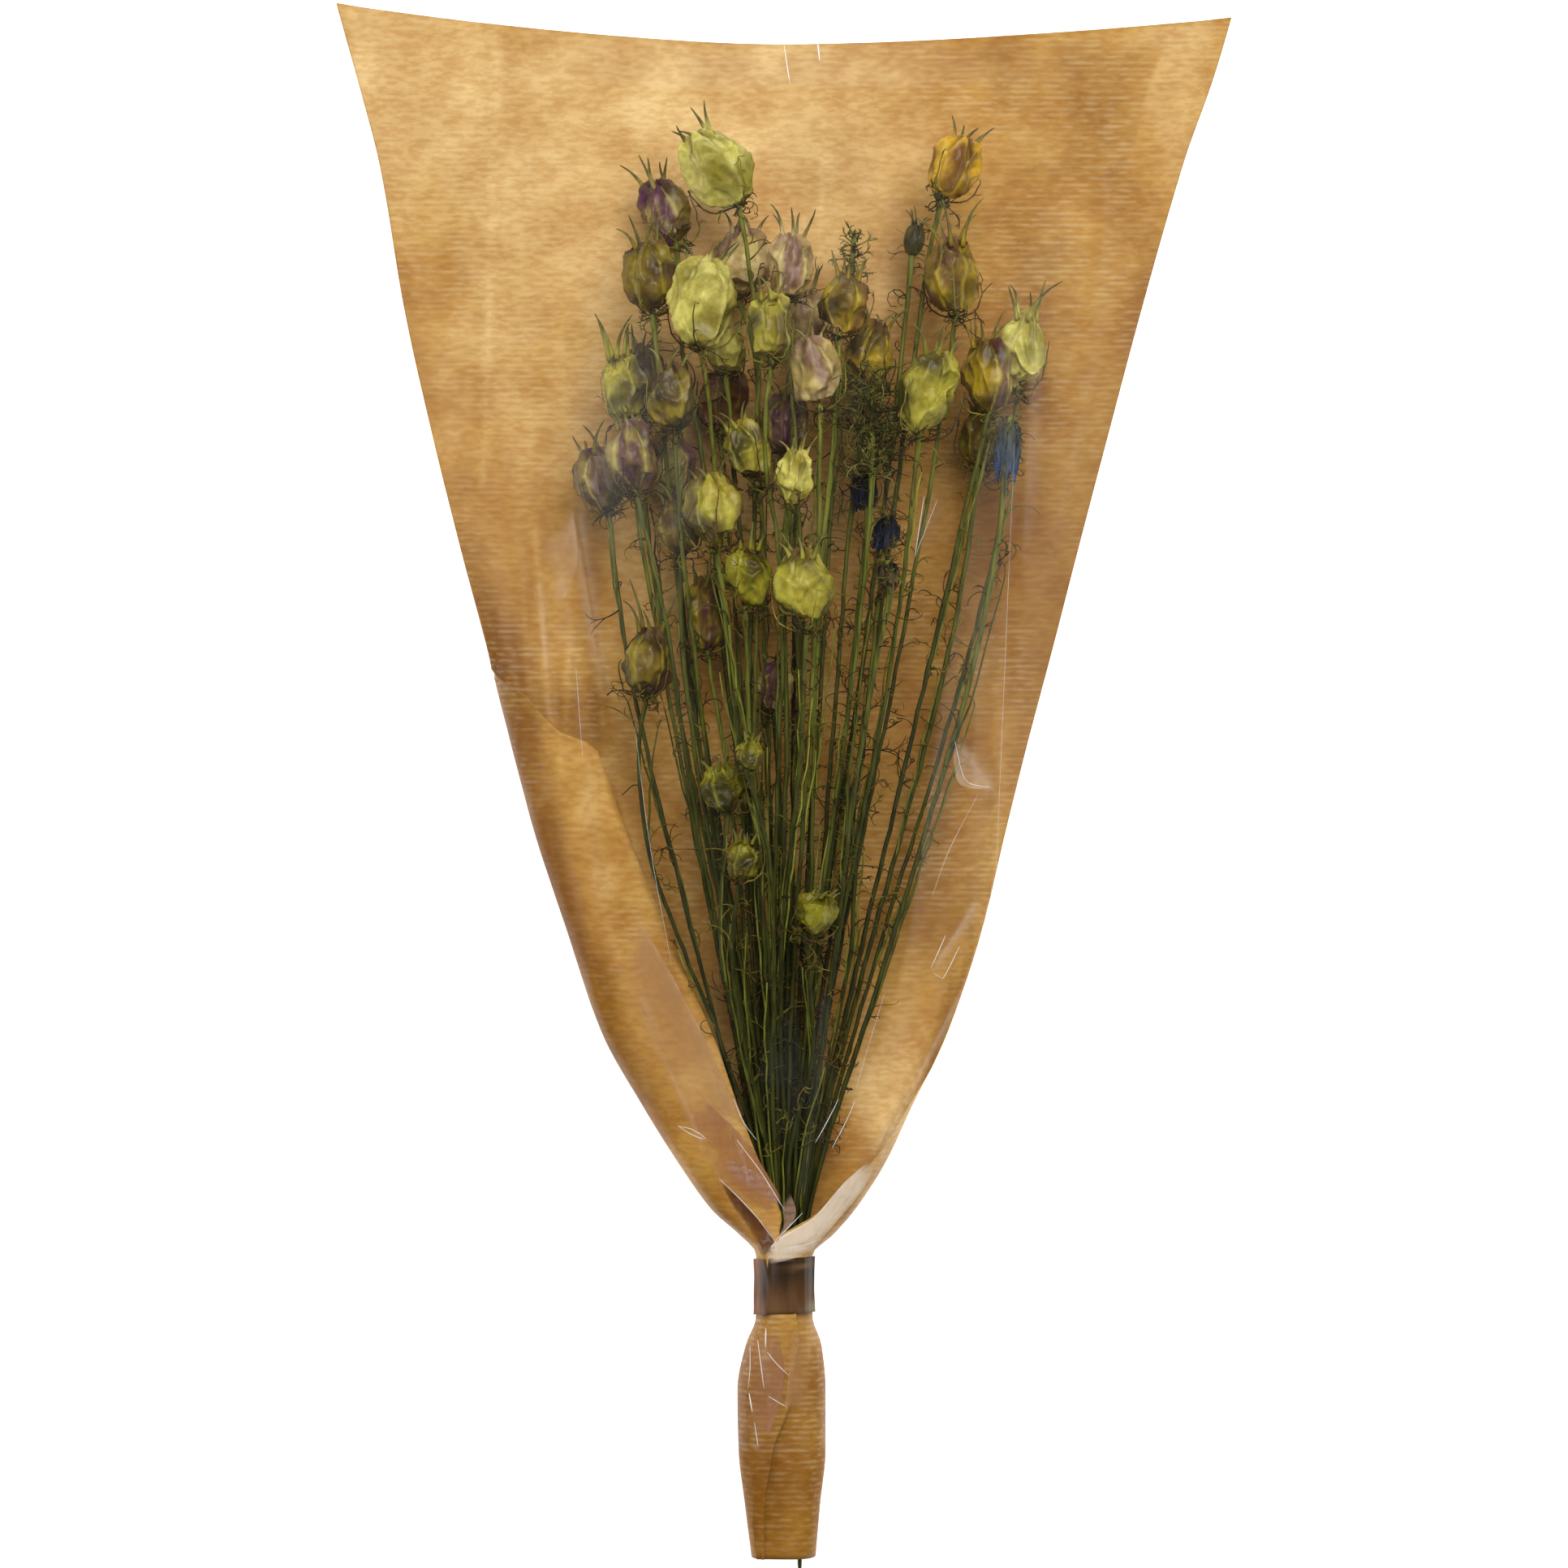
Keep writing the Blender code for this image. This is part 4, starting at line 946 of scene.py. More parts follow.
def press_dents(places, b, look, draw, seed):
    """Flatten or fold in the skin beyond some planes, as in a dried bladder."""
    flat = places.reshape(-1, 3).copy()
    ragged = noise_at(flat / b, 1.6, seed + 4) * 0.05 * b
    for k in range(look.dents):
        direction = np.array(random_direction(draw))
        direction[1] -= 0.35
        direction[2] *= 0.7
        direction /= np.linalg.norm(direction)
        reach = flat @ direction
        limit = reach.max() * (1 - look.dent_depth * draw.uniform(0.3, 1.7)) + ragged
        beyond = np.maximum(reach - limit, 0)
        flat -= np.outer(beyond * draw.uniform(0.9, 2.1), direction)
    return flat.reshape(places.shape)


def pod_tints(places, sector, lobe, rise, look, draw, seed, b):
    """Skin colours: two greens that drift, a stripe colour on each lobe, pale seams between them, and painted
    shade in the furrows beside the seams.
    """
    light, deep, stripe, seam = [linear(c) for c in (look.light, look.deep, look.stripe, look.seam)]
    tints = blend(light, deep, smooth_step(-0.35, 0.35, noise_at(places / b, 0.9, seed + 20)))
    amounts = np.array([draw.uniform(0.15, 1.0) for k in range(LOBES)])
    flank = np.sin(math.pi * sector) ** 0.5 * (1 - 0.55 * np.exp(-((sector - 0.5) / 0.06) ** 2))
    blotch = smooth_step(-0.5, 0.1, noise_at(places / b, (2.0, 2.0, 0.8), seed + 30))
    tints = blend(tints, stripe, np.minimum(look.striped * amounts[lobe] * flank * blotch, 0.92))
    near_seam = np.minimum(sector, 1 - sector)
    # Painted shade in the furrows beside the seams, deeper towards the top
    furrow_shade = np.exp(-((near_seam - 0.09) / 0.06) ** 2) * smooth_step(-0.1, 0.8, rise)
    tints = tints * (1 - 0.45 * furrow_shade)[..., None]
    tints = blend(tints, seam, 0.65 * np.exp(-(near_seam / 0.045) ** 2) + 0 * rise)
    top = smooth_step(0.75, 1.0, rise) * (0.1 + 0.45 * min(look.striped, 1))
    return blend(tints, stripe, top + 0 * sector)


def add_horns(shape, strand, matrix, look, turn, draw):
    """Dried styles: thin horns that rise from the lobes and hook over at their tips."""
    head = strand.head
    a, b = head.length / 2, head.width / 2
    tip_tint = linear((132, 126, 66)) * draw.uniform(0.6, 1.1)
    root_tint = linear(look.light) * 0.8
    for k in range(LOBES):
        angle = turn + 2 * math.pi * k / LOBES
        lean = draw.uniform(0.1, 0.7)
        hook = draw.uniform(-0.8, 1.4)
        reach = head.horn * draw.uniform(0.45, 1.15) + 0.28 * a
        sideways = draw.uniform(-0.45, 0.45)
        heading = Vector((math.sin(lean * 0.3), 0, math.cos(lean * 0.3)))
        points = [Vector((0.40 * b, 0, 0.72 * a))]
        for step in range(HORN_STEPS):
            bend = lean * 0.2 + hook * (step / HORN_STEPS) ** 2 * 0.5
            heading = (heading + Vector((bend * 0.55, sideways * 0.3, 0))).normalized()
            points.append(points[-1] + heading * reach / HORN_STEPS)
        spin = Matrix.Rotation(angle, 4, "Z")
        points = [matrix @ (spin @ p) for p in points]
        shares = np.linspace(0, 1, len(points))
        radii = 0.085 * b * (1 - shares) ** 1.5 + 0.24
        radii[-1] = 0.12
        tints = blend(root_tint, tip_tint, smooth_step(0.2, 0.6, shares))
        shape.add_tube(points, radii, tints, STEM, sides=7)


def thread_points(draw, start, heading, length, turn, steps=8):
    """A dried thread: it sets off along heading and curls more and more about an axis that drifts."""
    heading = heading.normalized()
    axis = random_direction(draw).cross(heading).normalized()
    point = start.copy()
    points = [point]
    for step in range(steps):
        share = (step + 1) / steps
        heading = Matrix.Rotation(turn * (0.35 + share) / steps, 3, axis) @ heading
        axis = (axis + random_direction(draw) * 0.35).normalized()
        point = point + heading * (length / steps)
        keep_inside(point)
        points.append(point.copy())
    return points


def add_thread(shape, draw, start, heading, length, turn, branches=2, radius=0.33, tints=THREAD_TINTS):
    """A curled thread-like leaf with short side threads."""
    tint = draw.choice(tints) * draw.uniform(0.8, 1.25)
    points = thread_points(draw, start, heading, length, turn)
    radii = radius * np.linspace(1, 0.45, len(points))
    shape.add_tube(points, radii, tint, STEM, sides=3)
    for branch in range(branches):
        k = draw.randint(2, len(points) - 3)
        out = (points[k + 1] - points[k]).normalized() + random_direction(draw) * 0.9
        side_length = length * draw.uniform(0.25, 0.5)
        side = thread_points(draw, points[k], out, side_length, turn * draw.uniform(0.5, 1.4), steps=6)
        shape.add_tube(side, radius * np.linspace(0.85, 0.4, len(side)), tint, STEM, sides=3)


def add_hugging_bract(shape, matrix, draw, root, angle, a, b):
    """A bract that runs up along the capsule, with short side threads."""
    tip = draw.uniform(-0.2, 0.6)
    stations = [root]
    for reach, z in ((0.8 * b + 1.0, -0.86 * a), (b + 1.2, -0.1 * a), (0.9 * b + 1.6, tip * a)):
        stations.append(round_axis(reach, angle, z))
        angle += draw.uniform(-0.05, 0.25)
    points = smooth_chain([matrix @ p for p in stations], 2.2)
    points = [points[0]] + [p + random_direction(draw) * 0.35 for p in points[1:]]
    tint = draw.choice(THREAD_TINTS) * draw.uniform(1.0, 1.5)
    shape.add_tube(points, np.linspace(0.36, 0.18, len(points)), tint, STEM, sides=4)
    for branch in range(3):
        k = draw.randint(1, len(points) - 2)
        out = (points[k + 1] - points[k]).normalized() + random_direction(draw)
        side = thread_points(draw, points[k], out, draw.uniform(2.5, 6.0), draw.uniform(1.0, 3.5), steps=6)
        shape.add_tube(side, np.linspace(0.25, 0.12, len(side)), tint, STEM, sides=3)


def add_bracts(shape, strand, draw):
    """Threads that spring from below the capsule, some hugging it and some curling away."""
    head = strand.head
    matrix = head_frame(strand)
    a, b = head.length / 2, head.width / 2
    count = 15 if head.width > 15 else 9
    start = draw.uniform(0, 2 * math.pi)
    for k in range(count):
        angle = start + 2 * math.pi * k / count + draw.uniform(-0.2, 0.2)
        root = round_axis(0.5, angle, -a - draw.uniform(0.5, 2.5))
        if k % 5 == 0:
            add_hugging_bract(shape, matrix, draw, root, angle, a, b)
        else:
            heading = matrix.to_3x3() @ round_axis(1, angle, draw.uniform(-0.3, 0.7))
            add_thread(shape, draw, matrix @ root, heading, draw.uniform(4, 13), draw.uniform(1.5, 6.0))


def add_ruff(shape, strand, draw, feet, rise, length, turn, **thread):
    """Threads that leave a head's axis on every side. feet are shares of its half length, and rise, length
    and turn are ranges to draw from."""
    matrix = head_frame(strand)
    for k, foot in enumerate(feet):
        root = matrix @ Vector((0, 0, foot * strand.head.length / 2))
        heading = matrix.to_3x3() @ round_axis(1, LEAF_ANGLE * k, draw.uniform(*rise))
        add_thread(shape, draw, root, heading, draw.uniform(*length), draw.uniform(*turn), **thread)


def stem_points(strand, inside):
    """Points of a stem from its cut end, straight through the handle and neck, to inside its head."""
    head = strand.head
    slot_x, slot_z = strand.points[0]
    foot_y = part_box(head.name)[0].y / METRES_PER_MM
    points = [Vector((slot_x, foot_y, slot_z)), Vector((slot_x, NECK_Y - 20, slot_z))]
    points.append(Vector((slot_x, NECK_Y, slot_z)))
    for y, (x, z) in zip(strand.ys[1:], strand.points[1:]):
        points.append(Vector((x, y, z)))
    points.append(head_frame(strand) @ Vector((0, 0, inside)))
    return smooth_chain(points, 6.0)


def add_stem(shape, strand, draw, inside):
    """A ribbed stem, thicker where it meets its head, with curled leaf threads along it."""
    points = stem_points(strand, inside)
    count = len(points)
    ys = np.array([p.y for p in points])
    open_share = np.clip((ys - NECK_Y) / NECK_BLEND, 0, 1)
    radii = NECK_STEM_RADIUS + (STEM_RADIUS - NECK_STEM_RADIUS) * open_share
    points = [p + random_direction(draw) * 0.28 * share for p, share in zip(points, open_share)]
    radii = radii * draw.uniform(0.8, 1.05) * np.array([draw.uniform(0.93, 1.08) for p in points])
    near_head = smooth_step(strand.base_y - 12, strand.base_y, ys)
    radii = radii * (1 + 0.35 * near_head)
    dark = STEM_DARK * draw.uniform(0.75, 1.35)
    light = STEM_LIGHT * draw.uniform(0.8, 1.2)
    upper = smooth_step(-60, 200, ys + draw.uniform(-60, 60))
    shape.add_tube(points, radii, blend(dark, light, 0.8 * upper), STEM, sides=7)
    add_shoots(shape, points, draw, draw.randint(2, 4))
    free = [k for k in range(1, count - 2) if ys[k] > LEAFLESS_Y]
    leafy = 0.42 + 0.4 * (strand.head.kind not in POD_LOOKS)
    for k in free:
        if draw.random() < leafy + 0.2 * (ys[k] > 20) + 0.2 * (points[k].x > 0):
            ahead = (points[k + 1] - points[k]).normalized()
            heading = ahead * draw.uniform(0.2, 1.1) + random_direction(draw)
            add_thread(shape, draw, points[k], heading, draw.uniform(5, 20), draw.uniform(1.0, 6.0),
                       branches=draw.randint(0, 3), radius=0.3)


def add_shoots(shape, points, draw, count):
    """Thin side shoots that leave the stem, keep beside it and end in a curl."""
    last = len(points) - 4
    for k in range(count):
        start = draw.randint(min(12, last - 6), max(last - 6, 13))
        steps = min(draw.randint(5, 16), last - start)
        if steps < 3:
            continue
        drift = random_direction(draw)
        drift.z *= 0.3
        reach = draw.uniform(2.0, 8.0)
        route = []
        for step in range(steps + 1):
            aside = drift * reach * (step / steps) ** 0.8
            point = points[start + step] + aside + random_direction(draw) * 0.4
            keep_inside(point)
            route.append(point)
        tint = blend(STEM_DARK, STEM_LIGHT, draw.uniform(0.1, 1.1)) * draw.uniform(0.8, 1.2)
        shape.add_tube(route, np.linspace(0.5, 0.26, len(route)), tint, STEM, sides=4)
        add_thread(shape, draw, route[-1], route[-1] - route[-2], draw.uniform(4, 12), draw.uniform(1.0, 6.0),
                   branches=3, radius=0.26)


def add_capsule(shape, strand, look, draw, stem_inside):
    """A capsule with its stem, which ends inside it, and its horns."""
    matrix = head_frame(strand)
    places, tints, turn = pod_surface(strand, look, draw)
    places = places @ np.array(matrix.to_3x3()).T + np.array(matrix.translation)
    shape.add_ring_grid(places, tints, SKIN)
    add_stem(shape, strand, draw, stem_inside * strand.head.length)
    add_horns(shape, strand, matrix, look, turn, draw)


def add_pod(shape, strand, draw):
    """A pod with its stem, horns, bracts and leaf threads."""
    add_capsule(shape, strand, POD_LOOKS[strand.head.kind], draw, -0.47)
    add_bracts(shape, strand, draw)


def add_bud(shape, strand, draw):
    """A small dark bud, shut, in a ruff of thread bracts."""
    head = strand.head
    add_capsule(shape, strand, BUD_LOOK, draw, -0.4)
    feet = (draw.uniform(-0.6, -1.2) for k in range(BUD_THREADS))
    length = (0.7 * head.length, 1.3 * head.length)
    add_ruff(shape, strand, draw, feet, (0.2, 1.6), length, (0.5, 3), branches=1, radius=0.22)


BLOOM_TINTS = {
    "blue_bloom_1": ((66, 92, 138), (84, 94, 80)),
    "blue_bloom_2": ((36, 42, 66), (20, 22, 26)),
    "blue_bloom_3": ((42, 54, 90), (20, 22, 30)),
    "dried_bloom": ((122, 104, 56), (62, 50, 24)),
}


def add_bloom(shape, strand, draw):
    """A wilted bloom: ragged petals that hang round the top of the stem, among threads."""
    head = strand.head
    matrix = head_frame(strand)
    a, b = head.length / 2, head.width / 2
    bright, dark = [linear(c) for c in BLOOM_TINTS[head.name]]
    for k in range(PETALS):
        angle = LEAF_ANGLE * k + draw.uniform(-0.3, 0.3)
        top = a * draw.uniform(0.45, 0.95)
        end = -a * draw.uniform(0.35, 1.0)
        stations = []
        waist = 0.55 * top + 0.45 * end + 0.35 * a
        tip_reach = draw.uniform(0.3, 1.0) * b
        for reach, z in ((0.1 * b, top), (0.8 * b, waist), (0.75 * b, 0.5 * end), (tip_reach, end)):
            stations.append(round_axis(reach, angle, z))
            angle += draw.uniform(-0.3, 0.3)
        points = smooth_chain([matrix @ p for p in stations], 1.6)
        points = [p + random_direction(draw) * 0.35 for p in points]
        shares = np.linspace(0, 1, len(points))
        widths = 0.25 + 0.95 * np.sin(math.pi * np.clip(shares * 1.05, 0, 1)) ** 0.7
        widths = widths * np.array([draw.uniform(0.7, 1.25) for p in points])
        tints = blend(dark, bright, smooth_step(0.25, 0.9, shares) * draw.uniform(0.5, 1.1))
        shape.add_tube(points, widths, tints, PETAL, sides=8, flat=0.16, twist=draw.uniform(-2.5, 2.5))
    feet = (draw.uniform(-1.2, 0.9) for k in range(BLOOM_THREADS))
    add_ruff(shape, strand, draw, feet, (-0.3, 1.2), (4, 13), (1, 5), radius=0.28)
    add_stem(shape, strand, draw, 0.45 * head.length)


SPRAY_THREADS = 0.27
SPRAY_TINTS = [linear(colour) for colour in (
    (116, 112, 40), (148, 140, 68), (88, 86, 26), (60, 58, 16), (100, 96, 34))]


def add_spray(shape, strand, draw):
    """Feathery foliage: forked threads that leave the stem on every side."""
    head = strand.head
    add_stem(shape, strand, draw, 0.45 * head.length)
    count = int(SPRAY_THREADS * head.length * head.width)
    feet = [-1.1 + 2.0 * k / count for k in range(count)]
    length = (0.45 * head.width, 1.5 * head.width)
    add_ruff(shape, strand, draw, feet, (-0.3, 0.8), length, (0.6, 3.5), branches=5, radius=0.34,
             tints=SPRAY_TINTS)


# How a head of each kind is added, the end of its piece's name, its slot, and the finish of its first
# surfaces. A head of any other kind is a pod.
POD_PIECE = (add_pod, "_dried_pod", "dried_pod", "skin")
OTHER_PIECES = {
    "bud": (add_bud, "_dried_bud", "dried_foliage", "skin"),
    "blue": (add_bloom, "_wilted_bloom", "blue_petal", "petal"),
    "dried": (add_bloom, "_wilted_bloom", "dried_foliage", "petal"),
    "spray": (add_spray, "_foliage", "dried_foliage", "stem"),
}


# Paper, film and tape. The film has two finishes.

CLEAR, GATHERED_SHEEN = 0, 1


def smooth_rows(ys):
    """Rows of the sleeve at heights along Y, on a smooth curve that never overshoots the rows listed."""
    table = np.array(ROWS)[::-1]
    knots, values = table[:, 0], table
    slopes = np.diff(values, axis=0) / np.diff(knots)[:, None]
    gentle = np.zeros_like(values)
    product = slopes[:-1] * slopes[1:]
    total = slopes[:-1] + slopes[1:]
    harmonic = 2 * product / np.where(np.abs(total) < 1e-9, 1, total)
    gentle[1:-1] = np.where(product > 0, harmonic, 0)
    gentle[0], gentle[-1] = slopes[0], slopes[-1]
    rows = []
    for y in ys:
        k = int(np.clip(np.searchsorted(knots, y) - 1, 0, len(knots) - 2))
        h = knots[k + 1] - knots[k]
        t = (y - knots[k]) / h
        value = values[k] * (1 + 2 * t) * (1 - t) ** 2 + values[k + 1] * t * t * (3 - 2 * t)
        value = value + gentle[k] * h * t * (1 - t) ** 2 + gentle[k + 1] * h * t * t * (t - 1)
        rows.append(Row(*value))
    return rows


def side_points(edge, roll, turn, lap, lift, flat_steps, turn_steps, lap_steps):
    """Outer face of half the sleeve across its width, from the middle out and over: a list of (x, z)."""
    angle = math.radians(turn)
    reach = roll * math.sin(min(angle, math.pi / 2)) + lap * max(math.cos(angle), 0.0)
    start = max(edge - reach, 0.6)
    points = [(start * k / flat_steps, lift) for k in range(flat_steps + 1)]
    for k in range(1, turn_steps + 1):
        a = angle * k / turn_steps
        points.append((start + roll * math.sin(a), lift + roll * (1 - math.cos(a))))
    end_x, end_z = points[-1]
    for k in range(1, lap_steps + 1):
        step = lap * k / lap_steps
        points.append((end_x + step * math.cos(angle), end_z + step * math.sin(angle)))
    return points


def paper_section(row, flat_steps=2, turn_steps=5, lap_steps=1):
    """The whole width of the paper's outer face at a row, from the left flap to the right flap."""
    steps = (flat_steps, turn_steps, lap_steps)
    left = side_points(row.left_edge, row.left_roll, row.left_turn, row.left_lap, row.lift, *steps)
    right = side_points(row.right_edge, row.right_roll, row.right_turn, row.right_lap, row.lift, *steps)
    return [(-x, z) for x, z in reversed(left[1:])] + right


def mouth_y(x):
    """The mouth's cut edge sags towards its middle, and its right corner is a little lower."""
    share = np.minimum(np.abs(x) / ROWS[0].left_edge, 1.0)
    drop = np.where(x > 0, RIGHT_CORNER_DROP, 0.0)
    return MOUTH_Y - MOUTH_DIP + (MOUTH_DIP - drop) * share ** 1.6


def crease_height(x, y, creases):
    """Height of the raised lines at places, with ends that fade."""
    total = np.zeros(np.shape(x))
    for crease in creases:
        along = np.array([crease.x2 - crease.x1, crease.y2 - crease.y1])
        length = np.linalg.norm(along)
        along = along / length
        reach = (x - crease.x1) * along[0] + (y - crease.y1) * along[1]
        off = np.abs(-(x - crease.x1) * along[1] + (y - crease.y1) * along[0])
        ends = smooth_step(-3, 6, reach) * (1 - smooth_step(length - 6, length + 3, reach))
        total += crease.height * ends * np.maximum(1 - off / crease.width, 0) ** 1.3
    return total


def paper_waves(x, y):
    """How far the paper's soft waves lift it off the table."""
    broad = noise_over(x, y, 0.016, 0.009, 3.1)
    ripple = noise_over(x, y, 0.05, 0.022, 7.7)
    openness = smooth_step(-150, 60, y)
    return openness * np.maximum(0.7 + 1.5 * broad + 0.5 * ripple, 0)


# Lighter and darker places on the paper: middle in x and y, half width and height, and amount. The narrow
# dark ones at x -88 to -64 in the folds at the left, at (-50, 8) and (-38, -60) beside the left flap's free
# edge, and at (-20, -150) in the fold under that flap are painted shade.
Stain = namedtuple("Stain", "x y wide high amount")
PAPER_TONES_AND_SHADES = [Stain(*line) for line in (
    (-30, 225, 100, 50, 0.23),
    (-60, 140, 50, 60, 0.12),
    (-130, 240, 34, 44, 0.28),
    (106, 230, 22, 24, -0.12),
    (70, 248, 20, 16, -0.14),
    (138, 225, 14, 44, 0.24),
    (104, 178, 30, 30, -0.20),
    (-118, 185, 20, 34, -0.14),
    (88, 104, 34, 74, -0.36),
    (56, 20, 30, 60, -0.20),
    (44, -30, 20, 40, -0.26),
    (100, 130, 12, 60, 0.22),
    (74, 0, 8, 40, 0.14),
    # The next four: painted shade in the dark folds at the left of the sheet
    (-88, 56, 6, 30, -0.26),
    (-66, 62, 5, 22, -0.26),
    (-64, 28, 3.5, 16, -0.34),
    (-75, 32, 7, 18, -0.22),
    (-66, -6, 5, 14, 0.10),
    (-60, -34, 7, 24, 0.06),
    # This one and (-38, -60): painted shadow beside the left flap's free edge
    (-50, 8, 8, 20, -0.20),
    (-60, -110, 14, 14, -0.10),
    (-38, -60, 6, 50, -0.14),
    (14, -118, 12, 30, -0.22),
    (36, -104, 16, 24, 0.34),
    # Painted shade in the fold under the left flap
    (-20, -150, 8, 14, -0.30),
    (0, -208, 30, 24, -0.34),
    (0, -250, 30, 26, -0.36),
)]


def off_middle(x, y, soft_patch):
    """How far places are from a patch's middle, squared: 1 at its half width or height."""
    return ((x - soft_patch.x) / soft_patch.wide) ** 2 + ((y - soft_patch.y) / soft_patch.high) ** 2


def square_mark(x, y):
    """A squarish darker mark near the mouth's right corner, sharp along its right side and below."""
    right_side = 117.3 + 0.271 * (y - 208.7)
    across = smooth_step(88, 102, x) * smooth_step(1.0, -1.0, x - right_side)
    return across * smooth_step(208, 210.5, y) * smooth_step(256, 253, y)


def paper_tints(x, y, margin):
    """Kraft colour: straw where light, orange brown where dark, by soft-edged patches, the sides and the
    creases, some of which are painted shade and painted light. margin is the distance to the nearer side."""
    # Darker within a few millimetres of both sides, and much darker on the turned-over roll at the lower
    # left, which is painted shade
    left_roll_shade = np.where(x < 0, smooth_step(110, 50, y) * smooth_step(-130, -80, y), 0)
    shade = 0.02 - 0.08 * np.exp(-(margin / 5) ** 2) - 0.46 * left_roll_shade * np.exp(-(margin / 12) ** 4)
    for soft_patch in PAPER_TONES_AND_SHADES:
        shade = shade + soft_patch.amount * np.exp(-off_middle(x, y, soft_patch))
    shade = shade - 0.12 * square_mark(x, y)
    shade = shade + 0.14 * noise_over(x, y, 0.034, 0.026, 12.0)
    shade = shade + 0.09 * noise_over(x, y, 0.10, 0.08, 15.0)
    # Painted light and shade along the creases: lighter along the raised ones, darker along the sunken one
    shade = shade + 0.12 * crease_height(x, y, PAPER_CREASES)
    straw, tan, brown = linear((240, 208, 150)), linear((204, 159, 80)), linear((153, 105, 20))
    up = np.clip(shade / 0.3, 0, 1)[..., None]
    down = np.clip(-shade / 0.4, 0, 1)[..., None]
    return tan + (straw - tan) * up + (brown - tan) * down


def make_kraft(material):
    """The kraft paper sleeve, waved and creased, its sides turned in towards the neck."""
    foot_y = ROWS[-1].y
    upper = np.linspace(MOUTH_Y, NECK_ROWS_Y, KRAFT_ROWS)
    ys = np.concatenate([upper, np.linspace(NECK_ROWS_Y - 2, foot_y, KRAFT_NECK_ROWS)])
    rows = smooth_rows(ys)
    sections = np.array([paper_section(row, *KRAFT_STEPS) for row in rows])
    x, z = sections[..., 0], sections[..., 1]
    y = np.repeat(ys[:, None], x.shape[1], axis=1)
    mouth_share = smooth_step(MOUTH_BEND_Y, MOUTH_Y, y)
    y = y - mouth_share * (MOUTH_Y - mouth_y(x))
    raised = paper_waves(x, y) + crease_height(x, y, PAPER_CREASES)
    flap = smooth_step(1.0, 6.0, z)
    z = z + raised * (1 - flap)
    flat = np.stack([x, y, z], -1)
    crumple = noise_at(flat, (0.10, 0.045, 0.08), 21.0) * 1.2
    crumple = crumple + (1 - 2 * np.abs(noise_at(flat, (0.13, 0.05, 0.1), 25.0))) * 0.8
    loose = 1 - np.exp(-((y + 172) / 16) ** 2)
    z = z + flap * loose * crumple * (0.4 + 0.7 * smooth_step(-170, -100, y))
    places = np.stack([x, y, z], -1)
    shape = Shape()
    margin = np.minimum(x - x.min(axis=1, keepdims=True), x.max(axis=1, keepdims=True) - x)
    shape.add_slab(places, paper_tints(x, y, margin), 0, KRAFT_THICKNESS)
    return shape.build("kraft_paper_sleeve", [material])


def free_edges(row):
    """The corners of the paper's inner face at its two free edges."""
    section = [Vector(point) for point in paper_section(row)]
    corners = []
    for end, before, hand in ((section[0], section[1], -1), (section[-1], section[-2], 1)):
        along = (end - before).normalized()
        corners.append(end + Vector((-along.y, along.x)) * hand * PAPER_THICKNESS)
    return corners


def film_points(row, columns):
    """The film across a row: drawn tight over the heads and the paper, evenly spaced from left to right."""
    held = [Vector(point) for point in paper_section(row)] + free_edges(row)
    for k in range(-8, 9):
        edge = row.left_edge if k < 0 else row.right_edge
        x = SUPPORT_SHARE * edge * k / 8
        held.append(Vector((x, film_crown(x, row.y))))
    held = np.array([tuple(p) for p in held])
    slopes = np.radians(np.arange(-78, 79, 3.0))
    out = np.stack([np.sin(slopes), np.cos(slopes)], -1)
    furthest = held[np.argmax(held @ out.T, axis=0)]
    line = furthest + out * FILM_GAP
    steps = np.concatenate([[0], np.cumsum(np.linalg.norm(np.diff(line, axis=0), axis=1))])
    wanted = np.linspace(1.5, steps[-1] - 1.5, columns)
    return np.stack([np.interp(wanted, steps, line[:, 0]), np.interp(wanted, steps, line[:, 1])], -1)


# Places where the film shows as a pale sheen: middle in x and y, half width and height, and amount.
FILM_SHEENS = [Stain(*line) for line in (
    (-50, 112, 24, 40, 0.006),
    (-62, 100, 9, 46, 0.004),
    (80, 120, 8, 40, 0.01),
    (0, -100, 8, 22, 0.007),
    (-2, -96, 6, 6, 0.012),
)]


def film_veil(x, y):
    """How much the film shows: a trace all over, and more along its creases and in its gathered throat."""
    veil = 0.0015 * np.ones(np.shape(x))
    veil = veil + 0.04 * np.clip(crease_height(x, y, FILM_CREASES), 0, 1.2)
    for sheen in FILM_SHEENS:
        veil = veil + sheen.amount * smooth_step(1.3, 0.5, off_middle(x, y, sheen))
    streaks = smooth_step(0.25, 0.6, noise_over(x, y, 0.16, 0.018, 35.0))
    throat = smooth_step(-60, -140, y)
    return veil + (0.004 + 0.014 * throat) * streaks


def film_surface():
    """Places of the film's outer face, wrinkled along the fan of the stems."""
    ys = np.linspace(MOUTH_Y - 1.5, FILM_FOOT_Y, FILM_ROWS)
    sections = np.array([film_points(row, FILM_COLUMNS) for row in smooth_rows(ys)])
    x, z = sections[..., 0], sections[..., 1]
    y = np.repeat(ys[:, None], FILM_COLUMNS, axis=1)
    y = y - smooth_step(MOUTH_BEND_Y, MOUTH_Y, y) * (MOUTH_Y - mouth_y(x) + 0.6)
    inner = 1 - smooth_step(0.8, 1.0, np.abs(np.linspace(-1, 1, FILM_COLUMNS)))[None, :]
    fan_x = x / (0.35 + (y + 300) / 560)
    wrinkle = 1 - np.abs(noise_over(fan_x, y, 0.055, 0.007, 41.0)) * 2
    soft = noise_over(x, y, 0.02, 0.012, 43.0)
    z = z + inner * (1.2 * np.maximum(wrinkle, 0) ** 2 + 0.8 * soft + 0.6)
    z = z + crease_height(x, y, FILM_CREASES)
    return np.stack([x, y, z], -1)


